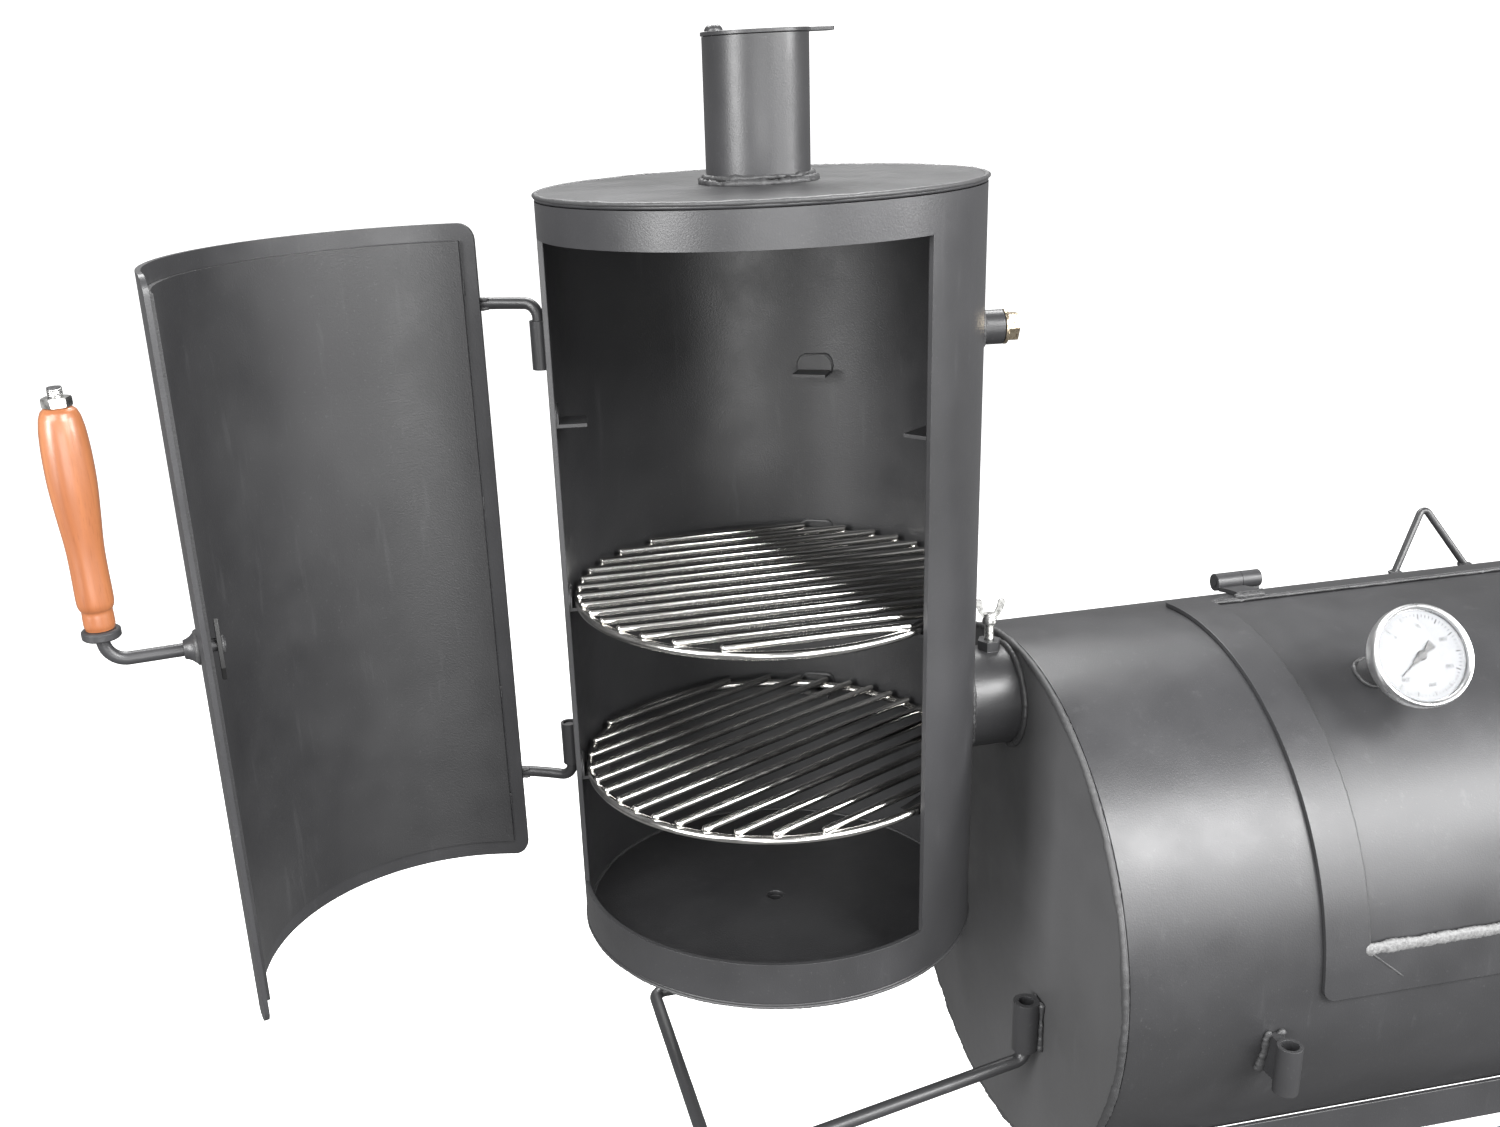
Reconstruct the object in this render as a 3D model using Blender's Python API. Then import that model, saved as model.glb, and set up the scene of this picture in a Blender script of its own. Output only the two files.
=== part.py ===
"""Offset smoker: upright smoking tower, horizontal cooking chamber, firebox and wheeled stand.

Metres, +Z up, the ground at z = 0.  The chamber runs along +X, the front of the smoker faces -Y
and the upright tower stands at the -X end with its door swung open.
"""
import math

import bmesh
import bpy
from mathutils import Matrix, Vector

# ------------------------------------------------------------------ driving dimensions
GAP = 0.0004                 # space left between pieces that touch
WELD_SINK = 0.0015           # how far a welded lug sinks into the wall it is welded to
OFFSET_X = -0.6265           # places the middle of the whole object over the origin

TOWER_R = 0.1778             # 14 inch pipe
TOWER_WALL = 0.004
TOWER_TOP = 1.568
TOWER_HEIGHT = 0.650
PLATE = 0.005
OPENING_TOP = 1.5346
OPENING_BOTTOM = 0.961
OPENING_FREE_ANGLE = -60.5
OPENING_HINGE_ANGLE = -183.0
TOWER_STEPS = 60
CHAMBER_STEPS = 60

LUG_LEVELS = (1.386, 1.226, 1.066)
LUG_ANGLES = (59.0, -53.0, 171.0)
LUG_DEPTH = 0.026
LUG_WIDTH = 0.032
LUG_THICK = 0.003
LUG_RISE = 0.013

GRATE_R = 0.165
GRATE_RING_ROD = 0.004
GRATE_BAR_ROD = 0.0034
GRATE_BARS = 14
GRATE_BAR_PITCH = 0.0226
LOWER_GRATE_TURN = 27.0

DOOR_OPEN_ANGLE = -104.3
DOOR_KERF = 0.0015
DOOR_STRIP_THICK = 0.004
DOOR_STRIP_WIDTH = 0.040
DOOR_STRIP_LAP = 0.011
DOOR_STRIP_TOP = 1.544
DOOR_STRIP_BOTTOM = 0.956
DOOR_PANEL_TOP = 1.530
DOOR_PANEL_BOTTOM = 0.972
DOOR_CORNER_R = 0.014
HINGE_RADIUS = 0.1880
HINGE_ANGLE = 158.4
HINGE_ROD = 0.005
HINGE_BEND = 0.012
UPPER_ROD_Z = 1.4770
UPPER_SLEEVE = (1.4220, 1.4630)
LOWER_ROD_Z = 1.0400
LOWER_SLEEVE = (1.0540, 1.0950)
SLEEVE_R = 0.0078

SPINDLE_ANGLE = -68.0
SPINDLE_Z = 1.270
HANDLE_REACH = 0.069
HANDLE_BEND = 0.016
GRIP_LENGTH = 0.162
GRIP_START = 0.026

PORT_ANGLE = -8.0
PORT_Z = 1.443
CHIMNEY_R = 0.0412
CHIMNEY_WALL = 0.003
CHIMNEY_TOP = 1.6755
DAMPER_THICK = 0.003
DAMPER_PIVOT_X = -0.0325

STUB_R = 0.046
STUB_WALL = 0.004
STUB_Z = 1.1016
BOLT_X = 0.206

CHAMBER_R = 0.254            # 20 inch pipe
CHAMBER_WALL = 0.005
CHAMBER_Z = 0.900
CHAMBER_X0 = 0.2236
CHAMBER_LENGTH = 1.050
CHAMBER_X1 = CHAMBER_X0 + CHAMBER_LENGTH
LID_X0 = 0.4012
LID_X1 = 1.0960
LID_LOW = 0.2
LID_HIGH = 100.6
LID_LAP = 0.015
LID_STRIP_WIDTH = 0.040
LID_TOP_STRIP_WIDTH = 0.0215
LID_HINGE_INSET = 0.068
LID_STRIP_THICK = 0.004
LID_HINGE_ANGLE = 105.0
LID_HINGE_RADIUS = 0.2675
LID_KNUCKLE_R = 0.0085
LID_PIN_R = 0.0040
STOP_FOOT_Y = 0.120
THERMO_X = 0.516
THERMO_ANGLE = 63.6            # where the stem passes through the lid
THERMO_RISE = 32.3             # the face looks forwards, this far above level
THERMO_TURN = 4.3              # and is turned this far towards the tower

FIREBOX_Z = 0.640
FIREBOX_LENGTH = 0.460
FIREBOX_X0 = CHAMBER_X1 + GAP
FIREBOX_X1 = FIREBOX_X0 + FIREBOX_LENGTH
FIREBOX_WALL = 0.006
FIRE_HOLE_HALF = 0.131
SMOKE_HOLE_R = 0.100
SMOKE_HOLE_Z = 0.770

SOCKET_R = 0.0120
SOCKET_Y = 0.1035
SOCKET_Z = (0.7840, 0.8355)
PULL_BAR_X = -0.0985
PULL_BAR_HALF = 0.1437
PULL_BAR_Z = 0.7391
PULL_ROD = 0.0065
SHELF_SOCKET_X = 0.3620
SHELF_SOCKET_Y = -0.2765

RAIL_Y = 0.187
RAIL_TOP = 0.7262
RAIL_SIZE = 0.040
RAIL_X0 = 0.345
RAIL_X1 = 1.215
LEG_SIZE = 0.050
LEG_DEPTH = 0.044
CROSS_Z = 0.636
SHELF_Z = 0.300
WHEEL_R = 0.190
WHEEL_X = 1.500
WHEEL_Y = 0.330
AXLE_R = 0.012
AXLE_COLLAR_R = 0.020
WHEEL_SPOKES = 6

STEEL = ("painted_steel", (0.030, 0.030, 0.032), 0.50, 0.55)
STEEL_DARK = ("painted_steel_inside", (0.018, 0.018, 0.019), 0.60, 0.50)
STAINLESS = ("stainless_rod", (0.62, 0.61, 0.59), 0.22, 1.0)
ZINC = ("zinc_plated", (0.70, 0.70, 0.68), 0.30, 1.0)
NICKEL = ("nickel_brass", (0.72, 0.64, 0.52), 0.28, 1.0)
WOOD = ("oiled_wood", (0.42, 0.15, 0.055), 0.42, 0.0)
WHITE = ("dial_face", (0.86, 0.86, 0.85), 0.45, 0.0)
POINTER = ("pointer_paint", (0.05, 0.05, 0.05), 0.40, 0.0)
TYRE = ("wheel_rim", (0.035, 0.035, 0.037), 0.55, 0.45)


# ------------------------------------------------------------------ scene and object helpers
def clear_scene():
    for old in list(bpy.data.objects):
        bpy.data.objects.remove(old, do_unlink=True)


def material(spec):
    label, colour, rough, metal = spec
    found = bpy.data.materials.get(label)
    if found:
        return found
    made = bpy.data.materials.new(label)
    made.use_nodes = True
    shader = made.node_tree.nodes["Principled BSDF"]
    shader.inputs["Base Color"].default_value = (*colour, 1.0)
    shader.inputs["Roughness"].default_value = rough
    shader.inputs["Metallic"].default_value = metal
    return made


ORIGINS = {}


def axis_empty(name, origin, parent=None):
    empty = bpy.data.objects.new(name, None)
    empty.empty_display_size = 0.05
    bpy.context.collection.objects.link(empty)
    settle(empty, origin, parent)
    return empty


def settle(obj, origin, parent):
    """Put an object's origin at a point of the closed smoker, under its parent."""
    ORIGINS[obj.name] = Vector(origin)
    start = Vector((0.0, 0.0, 0.0))
    if parent is not None:
        obj.parent = parent
        start = ORIGINS[parent.name]
    obj.location = Vector(origin) - start


def add_piece(name, bm, spec, parent, origin=(0.0, 0.0, 0.0), smooth=30.0, cutter=False):
    """Make an object from a bmesh given in the closed smoker's own coordinates."""
    bmesh.ops.remove_doubles(bm, verts=bm.verts[:], dist=0.000005)
    bmesh.ops.recalc_face_normals(bm, faces=bm.faces[:])
    bmesh.ops.translate(bm, verts=bm.verts[:], vec=-Vector(origin))
    mesh = bpy.data.meshes.new(name)
    bm.to_mesh(mesh)
    bm.free()
    mesh.materials.append(material(spec))
    if smooth:
        mesh.shade_smooth()
        mesh.set_sharp_from_angle(angle=math.radians(smooth))
    obj = bpy.data.objects.new(name, mesh)
    bpy.context.collection.objects.link(obj)
    settle(obj, origin, parent)
    if cutter:
        obj.hide_render = True
        obj.display_type = "WIRE"
    return obj


def combine(target, tool, operation):
    step = target.modifiers.new(tool.name, "BOOLEAN")
    step.operation = operation
    step.solver = "EXACT"
    step.object = tool


def polar(radius, degrees, z=0.0):
    a = math.radians(degrees)
    return Vector((radius * math.cos(a), radius * math.sin(a), z))


def frame_along(point, direction, up=(0.0, 0.0, 1.0)):
    """Matrix whose local Z runs along a direction, placed at a point."""
    z = Vector(direction).normalized()
    side = Vector(up).cross(z)
    if side.length < 1e-6:
        side = Vector((1.0, 0.0, 0.0))
    x = side.normalized()
    y = z.cross(x)
    return Matrix(((x.x, y.x, z.x, point[0]), (x.y, y.y, z.y, point[1]),
                   (x.z, y.z, z.z, point[2]), (0.0, 0.0, 0.0, 1.0)))


# chamber frame: local Z runs along the chamber, local angle 0 faces the front, 90 the top
def chamber_frame(x):
    return Matrix(((0.0, 0.0, 1.0, x), (-1.0, 0.0, 0.0, 0.0),
                   (0.0, 1.0, 0.0, CHAMBER_Z), (0.0, 0.0, 0.0, 1.0)))


# ------------------------------------------------------------------ shape helpers
def revolve(bm, profile, steps, place=Matrix.Identity(4), start=0.0, sweep=360.0):
    """Turn a closed (radius, height) outline about local Z; radius 0 points become one pole."""
    full = abs(sweep - 360.0) < 1e-9
    columns = []
    poles = {}
    count = steps if full else steps + 1
    for i in range(count):
        a = math.radians(start + sweep * i / steps)
        column = []
        for j, (radius, height) in enumerate(profile):
            if radius == 0.0:
                if j not in poles:
                    poles[j] = bm.verts.new(place @ Vector((0.0, 0.0, height)))
                column.append(poles[j])
            else:
                spot = Vector((radius * math.cos(a), radius * math.sin(a), height))
                column.append(bm.verts.new(place @ spot))
        columns.append(column)
    rows = len(profile)
    for i in range(steps):
        here = columns[i]
        after = columns[(i + 1) % count]
        for j in range(rows):
            k = (j + 1) % rows
            corners = []
            for v in (here[j], after[j], after[k], here[k]):
                if v not in corners:
                    corners.append(v)
            if len(corners) > 2:
                bm.faces.new(corners)
    if not full:
        bm.faces.new(columns[0])
        bm.faces.new(columns[-1])


def ring(bm, r_in, r_out, z0, z1, steps, place=Matrix.Identity(4), start=0.0, sweep=360.0):
    outline = [(r_in, z0), (r_out, z0), (r_out, z1), (r_in, z1)]
    revolve(bm, outline, steps, place, start, sweep)


def disc(bm, radius, z0, z1, steps, place=Matrix.Identity(4)):
    revolve(bm, [(0.0, z0), (radius, z0), (radius, z1), (0.0, z1)], steps, place)


def prism(bm, outline, z0, z1, place=Matrix.Identity(4)):
    """Extrude a closed local XY outline between two heights."""
    low = [bm.verts.new(place @ Vector((x, y, z0))) for x, y in outline]
    high = [bm.verts.new(place @ Vector((x, y, z1))) for x, y in outline]
    bm.faces.new(low)
    bm.faces.new(high)
    for i in range(len(outline)):
        k = (i + 1) % len(outline)
        bm.faces.new((low[i], low[k], high[k], high[i]))


def block(bm, low, high, place=Matrix.Identity(4)):
    outline = [(low[0], low[1]), (high[0], low[1]), (high[0], high[1]), (low[0], high[1])]
    prism(bm, outline, low[2], high[2], place)


def round_rod(bm, path, radius, sides=10):
    """Sweep a circle along a path of points, mitred at every point and capped at both ends."""
    loops = []
    previous = None
    last = len(path) - 1
    for i, point in enumerate(path):
        before = (path[i] - path[i - 1]).normalized() if i > 0 else None
        after = (path[i + 1] - path[i]).normalized() if i < last else None
        if before is None:
            before = after
        if after is None:
            after = before
        along = (before + after).normalized()
        stretch = 1.0 / max(along.dot(after), 0.5)
        if previous is None:
            seed = Vector((0.0, 0.0, 1.0))
            if abs(along.dot(seed)) > 0.9:
                seed = Vector((1.0, 0.0, 0.0))
            side = along.cross(seed).normalized()
        else:
            side = (previous - along * previous.dot(along)).normalized()
        other = along.cross(side)
        bend = after - before
        loop = []
        for k in range(sides):
            a = 2.0 * math.pi * k / sides
            spoke = side * math.cos(a) + other * math.sin(a)
            offset = spoke * radius
            if bend.length > 1e-6:
                toward = bend.normalized()
                toward = (toward - along * toward.dot(along)).normalized()
                offset += toward * (spoke.dot(toward) * radius * (stretch - 1.0))
            loop.append(bm.verts.new(point + offset))
        loops.append(loop)
        previous = side
    for a, b in zip(loops, loops[1:]):
        for k in range(sides):
            m = (k + 1) % sides
            bm.faces.new((a[k], a[m], b[m], b[k]))
    bm.faces.new(loops[0])
    bm.faces.new(loops[-1])


def bent_path(corners, bend, steps=5):
    """Points of a bar through the given corners with every inner corner rounded."""
    points = [Vector(corners[0])]
    for i in range(1, len(corners) - 1):
        before = Vector(corners[i - 1])
        corner = Vector(corners[i])
        after = Vector(corners[i + 1])
        u = (before - corner).normalized()
        v = (after - corner).normalized()
        half = u.angle(v) / 2.0
        reach = bend / math.tan(half)
        centre = corner + (u + v).normalized() * (bend / math.sin(half))
        first = corner + u * reach - centre
        final = corner + v * reach - centre
        turn = first.angle(final)
        for k in range(steps + 1):
            f = k / steps
            blend = (first * math.sin((1.0 - f) * turn) + final * math.sin(f * turn)) / math.sin(turn)
            points.append(centre + blend)
    points.append(Vector(corners[-1]))
    return points


def wrapped_frame(bm, r_in, r_out, outer, inner, corner, step, place=Matrix.Identity(4)):
    """A curved rectangular frame cut from a pipe wall.

    outer and inner are (angle0, angle1, z0, z1); the outer corners are rounded.
    """
    a0, a1, z0, z1 = outer
    b0, b1, w0, w1 = inner
    reach = math.degrees(corner / r_out)
    angles = set()
    for k in range(5):
        part = reach * (1.0 - math.cos(math.pi / 2.0 * k / 4))
        angles.add(round(a0 + part, 6))
        angles.add(round(a1 - part, 6))
    angles.update((round(b0, 6), round(b1, 6)))
    a = math.ceil((a0 + reach) / step) * step
    while a < a1 - reach:
        if min(abs(a - b0), abs(a - b1)) > step * 0.2:
            angles.add(round(a, 6))
        a += step
    columns = []
    for a in sorted(angles):
        near = min(a - a0, a1 - a)
        drop = 0.0
        if near < reach:
            s = corner * (1.0 - near / reach)
            drop = corner - math.sqrt(max(corner * corner - s * s, 0.0))
        heights = (z0 + drop, w0, w1, z1 - drop)
        column = []
        for radius in (r_in, r_out):
            spots = [place @ polar(radius, a, z) for z in heights]
            column.append([bm.verts.new(p) for p in spots])
        columns.append((a, column))
    for (a, here), (b, after) in zip(columns, columns[1:]):
        middle = (a + b) / 2.0
        bands = (0, 2) if b0 < middle < b1 else (0, 1, 2)
        for side in (0, 1):
            for j in bands:
                p, q = here[side], after[side]
                bm.faces.new((p[j], q[j], q[j + 1], p[j + 1]))
        for j in (0, 3):
            bm.faces.new((here[0][j], after[0][j], after[1][j], here[1][j]))
        if b0 < middle < b1:
            for j in (1, 2):
                bm.faces.new((here[0][j], after[0][j], after[1][j], here[1][j]))
    for index, bands in ((0, (0, 1, 2)), (-1, (0, 1, 2))):
        column = columns[index][1]
        for j in bands:
            bm.faces.new((column[0][j], column[0][j + 1], column[1][j + 1], column[1][j]))
    for a, column in columns:
        if abs(a - b0) < 1e-5 or abs(a - b1) < 1e-5:
            bm.faces.new((column[0][1], column[0][2], column[1][2], column[1][1]))


def arc_sheet(bm, r_in, r_out, a0, a1, z0, z1, steps, place=Matrix.Identity(4)):
    ring(bm, r_in, r_out, z0, z1, steps, place, a0, a1 - a0)


def hexagon(radius):
    return [tuple(polar(radius, 60.0 * k).xy) for k in range(6)]


# ------------------------------------------------------------------ upright tower
def build_tower(root):
    bottom = TOWER_TOP - TOWER_HEIGHT
    inner = TOWER_R - TOWER_WALL

    bm = bmesh.new()
    ring(bm, inner, TOWER_R, bottom + PLATE + GAP, TOWER_TOP - PLATE - GAP, TOWER_STEPS)
    shell = add_piece("tower_shell", bm, STEEL, root)

    bm = bmesh.new()
    ring(bm, 0.10, 0.25, OPENING_BOTTOM, OPENING_TOP, 24, start=OPENING_HINGE_ANGLE,
         sweep=OPENING_FREE_ANGLE - OPENING_HINGE_ANGLE)
    combine(shell, add_piece("cut_door_opening", bm, STEEL, root, cutter=True), "DIFFERENCE")

    bm = bmesh.new()
    disc(bm, STUB_R - STUB_WALL, 0.10, 0.25, 32, frame_along((0, 0, STUB_Z), (1, 0, 0)))
    combine(shell, add_piece("cut_smoke_passage", bm, STEEL, root, cutter=True), "DIFFERENCE")

    out = polar(1.0, PORT_ANGLE)
    bm = bmesh.new()
    disc(bm, 0.0105, 0.10, 0.25, 20, frame_along((0, 0, PORT_Z), out))
    combine(shell, add_piece("cut_probe_port", bm, STEEL, root, cutter=True), "DIFFERENCE")

    bm = bmesh.new()
    back = inner + WELD_SINK
    for level in LUG_LEVELS:
        for angle in LUG_ANGLES:
            out = polar(1.0, angle)
            side = Vector((0, 0, 1)).cross(out)
            place = Matrix(((out.x, 0.0, side.x, 0.0), (out.y, 0.0, side.y, 0.0),
                            (0.0, 1.0, 0.0, level), (0.0, 0.0, 0.0, 1.0)))
            outline = [(inner - LUG_DEPTH, -LUG_THICK), (back, -LUG_THICK), (back, LUG_RISE),
                       (inner - LUG_THICK, LUG_RISE), (inner - LUG_THICK, 0.0),
                       (inner - LUG_DEPTH, 0.0)]
            prism(bm, outline, -LUG_WIDTH / 2, LUG_WIDTH / 2, place)
    combine(shell, add_piece("grate_lugs", bm, STEEL, root, cutter=True), "UNION")

    bm = bmesh.new()
    ring(bm, CHIMNEY_R - CHIMNEY_WALL, TOWER_R, TOWER_TOP - PLATE, TOWER_TOP, TOWER_STEPS)
    add_piece("tower_top_plate", bm, STEEL, root)

    bm = bmesh.new()
    ring(bm, 0.0077, TOWER_R, bottom, bottom + PLATE, TOWER_STEPS)
    add_piece("tower_floor_plate", bm, STEEL, root)

    for name, level, turn in (("tower_grate_upper", LUG_LEVELS[1], 0.0),
                              ("tower_grate_lower", LUG_LEVELS[2], LOWER_GRATE_TURN)):
        round_grate(name, level + GAP + GRATE_RING_ROD, turn, root)

    fitting = frame_along((0, 0, PORT_Z), polar(1.0, PORT_ANGLE))
    base = TOWER_R + GAP
    bm = bmesh.new()
    revolve(bm, [(0.0105, base), (0.0185, base), (0.0135, base + 0.006), (0.0135, base + 0.020),
                 (0.0105, base + 0.020)], 20, fitting)
    add_piece("probe_port_coupling", bm, STEEL, root)
    seat = base + 0.020 + GAP
    bm = bmesh.new()
    revolve(bm, [(0.0, base + 0.004), (0.0100, base + 0.004), (0.0100, seat), (0.0145, seat),
                 (0.0145, seat + 0.003), (0.0, seat + 0.003)], 20, fitting)
    plug = add_piece("probe_port_plug", bm, NICKEL, root)
    bm = bmesh.new()
    prism(bm, hexagon(0.0125), seat + 0.002, seat + 0.012, fitting)
    combine(plug, add_piece("plug_hexagon", bm, NICKEL, root, cutter=True), "UNION")


def round_grate(name, z, turn, root):
    spin = Matrix.Translation((0.0, 0.0, z)) @ Matrix.Rotation(math.radians(turn), 4, "Z")
    tube = []
    for k in range(6):
        a = 2.0 * math.pi * k / 6
        tube.append((GRATE_R + GRATE_RING_ROD * math.cos(a), GRATE_RING_ROD * math.sin(a)))
    bm = bmesh.new()
    revolve(bm, tube, 40, spin)
    grate = add_piece(name, bm, STAINLESS, root, origin=(0.0, 0.0, z))
    lift = GRATE_RING_ROD * 0.866 + GRATE_BAR_ROD * 0.866 - 0.0008
    bm = bmesh.new()
    for k in range(GRATE_BARS):
        y = (k - (GRATE_BARS - 1) / 2.0) * GRATE_BAR_PITCH
        half = math.sqrt(GRATE_R * GRATE_R - y * y) + 0.002
        ends = [spin @ Vector((-half, y, lift)), spin @ Vector((half, y, lift))]
        round_rod(bm, ends, GRATE_BAR_ROD, 6)
    bars = add_piece(name + "_bars", bm, STAINLESS, root, origin=(0.0, 0.0, z), cutter=True)
    combine(grate, bars, "UNION")


def build_chimney(root):
    inner = CHIMNEY_R - CHIMNEY_WALL
    low = TOWER_TOP + GAP
    bm = bmesh.new()
    revolve(bm, [(inner, low), (CHIMNEY_R + 0.0045, low), (CHIMNEY_R + 0.003, low + 0.003),
                 (CHIMNEY_R, low + 0.006), (CHIMNEY_R, CHIMNEY_TOP), (inner, CHIMNEY_TOP)], 36)
    pipe = add_piece("chimney_pipe", bm, STEEL, root)
    pivot = Matrix.Translation((DAMPER_PIVOT_X, 0.0, 0.0))
    bm = bmesh.new()
    disc(bm, 0.0075, CHIMNEY_TOP - 0.025, CHIMNEY_TOP, 16, pivot)
    combine(pipe, add_piece("damper_boss", bm, STEEL, root, cutter=True), "UNION")
    bm = bmesh.new()
    disc(bm, 0.0043, CHIMNEY_TOP - 0.040, CHIMNEY_TOP + 0.010, 16, pivot)
    combine(pipe, add_piece("cut_damper_boss", bm, STEEL, root, cutter=True), "DIFFERENCE")

    plate_low = CHIMNEY_TOP + GAP
    plate_high = plate_low + DAMPER_THICK
    origin = (DAMPER_PIVOT_X, 0.0, plate_low)
    outline = [tuple(polar(CHIMNEY_R + 0.001, 14.0 + 332.0 * k / 40).xy) for k in range(41)]
    outline += [(0.0605, -0.0102), (0.0605, 0.0102)]
    bm = bmesh.new()
    prism(bm, outline, plate_low, plate_high)
    plate = add_piece("chimney_damper_plate", bm, STEEL, root, origin=origin)
    bm = bmesh.new()
    disc(bm, 0.0046, plate_low - 0.01, plate_high + 0.01, 16, pivot)
    hole = add_piece("cut_damper_pivot", bm, STEEL, root, origin=origin, cutter=True)
    combine(plate, hole, "DIFFERENCE")

    head = plate_high + GAP
    bm = bmesh.new()
    revolve(bm, [(0.0, CHIMNEY_TOP - 0.030), (0.0039, CHIMNEY_TOP - 0.030), (0.0039, head),
                 (0.0072, head), (0.0066, head + 0.0025), (0.0042, head + 0.0045),
                 (0.0, head + 0.0052)], 16, pivot)
    add_piece("chimney_damper_bolt", bm, STEEL, root)


# ------------------------------------------------------------------ tower door
def build_door(root):
    inner = TOWER_R - TOWER_WALL
    hinge = polar(HINGE_RADIUS, HINGE_ANGLE)
    axis = axis_empty("door_axis", hinge, root)
    axis.rotation_euler = (0.0, 0.0, math.radians(DOOR_OPEN_ANGLE))
    kerf = math.degrees(DOOR_KERF / TOWER_R)
    a0 = OPENING_HINGE_ANGLE + kerf
    a1 = OPENING_FREE_ANGLE - kerf

    bm = bmesh.new()
    arc_sheet(bm, inner, TOWER_R, a0, a1, DOOR_PANEL_BOTTOM, DOOR_PANEL_TOP, 24)
    panel = add_piece("door_panel", bm, STEEL_DARK, axis, origin=hinge)

    strip_in = TOWER_R + GAP
    strip_out = strip_in + DOOR_STRIP_THICK
    lap = math.degrees(DOOR_STRIP_LAP / TOWER_R)
    width = math.degrees(DOOR_STRIP_WIDTH / TOWER_R)
    outer = (OPENING_HINGE_ANGLE - lap, OPENING_FREE_ANGLE + lap,
             DOOR_STRIP_BOTTOM, DOOR_STRIP_TOP)
    window = (outer[0] + width, outer[1] - width,
              outer[2] + DOOR_STRIP_WIDTH, outer[3] - DOOR_STRIP_WIDTH)
    bm = bmesh.new()
    wrapped_frame(bm, strip_in, strip_out, outer, window, DOOR_CORNER_R, 5.0)
    strips = add_piece("door_frame_strips", bm, STEEL, axis, origin=hinge)

    out = polar(1.0, SPINDLE_ANGLE)
    spindle_frame = frame_along((0, 0, SPINDLE_Z), out)
    bore = HINGE_ROD + GAP
    bm = bmesh.new()
    disc(bm, bore, 0.15, 0.22, 16, spindle_frame)
    hole = add_piece("cut_spindle", bm, STEEL, axis, origin=hinge, cutter=True)
    combine(panel, hole, "DIFFERENCE")
    combine(strips, hole, "DIFFERENCE")

    # hinge rods follow the curve of the door, then turn into the sleeves on the tower
    rod_radius = HINGE_RADIUS
    short = math.degrees(HINGE_BEND / rod_radius)
    for name, rod_z, turn, far in (("door_hinge_rod_upper", UPPER_ROD_Z, -1.0, UPPER_SLEEVE[0]),
                                   ("door_hinge_rod_lower", LOWER_ROD_Z, 1.0, LOWER_SLEEVE[1])):
        path = []
        first = HINGE_ANGLE + 26.0
        final = HINGE_ANGLE + short
        for k in range(6):
            path.append(polar(rod_radius, first + (final - first) * k / 5.0, rod_z))
        centre = rod_z + turn * HINGE_BEND
        for k in range(1, 6):
            a = math.pi / 2.0 * k / 5
            angle = HINGE_ANGLE + short * (1.0 - math.sin(a))
            path.append(polar(rod_radius, angle, centre - turn * HINGE_BEND * math.cos(a)))
        path.append(Vector((hinge.x, hinge.y, far - turn * 0.002)))
        bm = bmesh.new()
        round_rod(bm, path, HINGE_ROD, 10)
        add_piece(name, bm, STEEL, axis, origin=(hinge.x, hinge.y, rod_z))

    for name, (low, high) in (("door_hinge_sleeve_upper", UPPER_SLEEVE),
                              ("door_hinge_sleeve_lower", LOWER_SLEEVE)):
        bm = bmesh.new()
        ring(bm, HINGE_ROD + GAP, SLEEVE_R, low, high, 16, Matrix.Translation(hinge))
        sleeve = add_piece(name, bm, STEEL, root)
        side = Matrix.Rotation(math.radians(HINGE_ANGLE), 4, "Z")
        bm = bmesh.new()
        block(bm, (TOWER_R + GAP, -0.0035, low + 0.0015),
              (HINGE_RADIUS - HINGE_ROD - 0.0012, 0.0035, high - 0.0015), side)
        web = add_piece(name + "_web", bm, STEEL, root, cutter=True)
        combine(sleeve, web, "UNION")

    # handle, turning on the spindle together with the latch tongue
    pivot = polar(TOWER_R, SPINDLE_ANGLE, SPINDLE_Z)
    turn_axis = axis_empty("door_handle_axis", pivot, axis)
    seat = strip_out + GAP
    bm = bmesh.new()
    revolve(bm, [(bore, seat), (0.0118, seat), (0.0104, seat + 0.003), (0.0074, seat + 0.010),
                 (bore, seat + 0.010)], 20, spindle_frame)
    add_piece("door_handle_boss", bm, STEEL, axis, origin=hinge)

    reach = TOWER_R + HANDLE_REACH
    top = SPINDLE_Z + GRIP_START + GRIP_LENGTH + 0.014
    tongue_out = inner - 0.0052
    tongue_in = tongue_out - 0.0035
    start = polar(tongue_in - 0.003, SPINDLE_ANGLE, SPINDLE_Z)
    corner = polar(reach, SPINDLE_ANGLE, SPINDLE_Z)
    path = bent_path([start, corner, Vector((corner.x, corner.y, top))], HANDLE_BEND)
    bm = bmesh.new()
    round_rod(bm, path, HINGE_ROD, 10)
    rod = add_piece("door_handle_rod", bm, STEEL, turn_axis, origin=pivot)
    upright = Matrix.Translation((corner.x, corner.y, 0.0))
    flange = SPINDLE_Z + GRIP_START - GAP
    bm = bmesh.new()
    disc(bm, 0.0140, flange - 0.007, flange, 20, upright)
    washer = add_piece("handle_flange", bm, STEEL, turn_axis, origin=pivot, cutter=True)
    combine(rod, washer, "UNION")

    add_grip("door_handle_grip", turn_axis, pivot,
             Matrix.Translation((corner.x, corner.y, SPINDLE_Z + GRIP_START)), bore)
    nut_low = SPINDLE_Z + GRIP_START + GRIP_LENGTH + GAP
    bm = bmesh.new()
    prism(bm, hexagon(0.0105), nut_low, nut_low + 0.0065, upright)
    nut = add_piece("door_handle_nut", bm, ZINC, turn_axis, origin=pivot)
    bm = bmesh.new()
    disc(bm, bore, nut_low - 0.01, nut_low + 0.02, 16, upright)
    hole = add_piece("cut_handle_nut", bm, ZINC, turn_axis, origin=pivot, cutter=True)
    combine(nut, hole, "DIFFERENCE")

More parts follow.
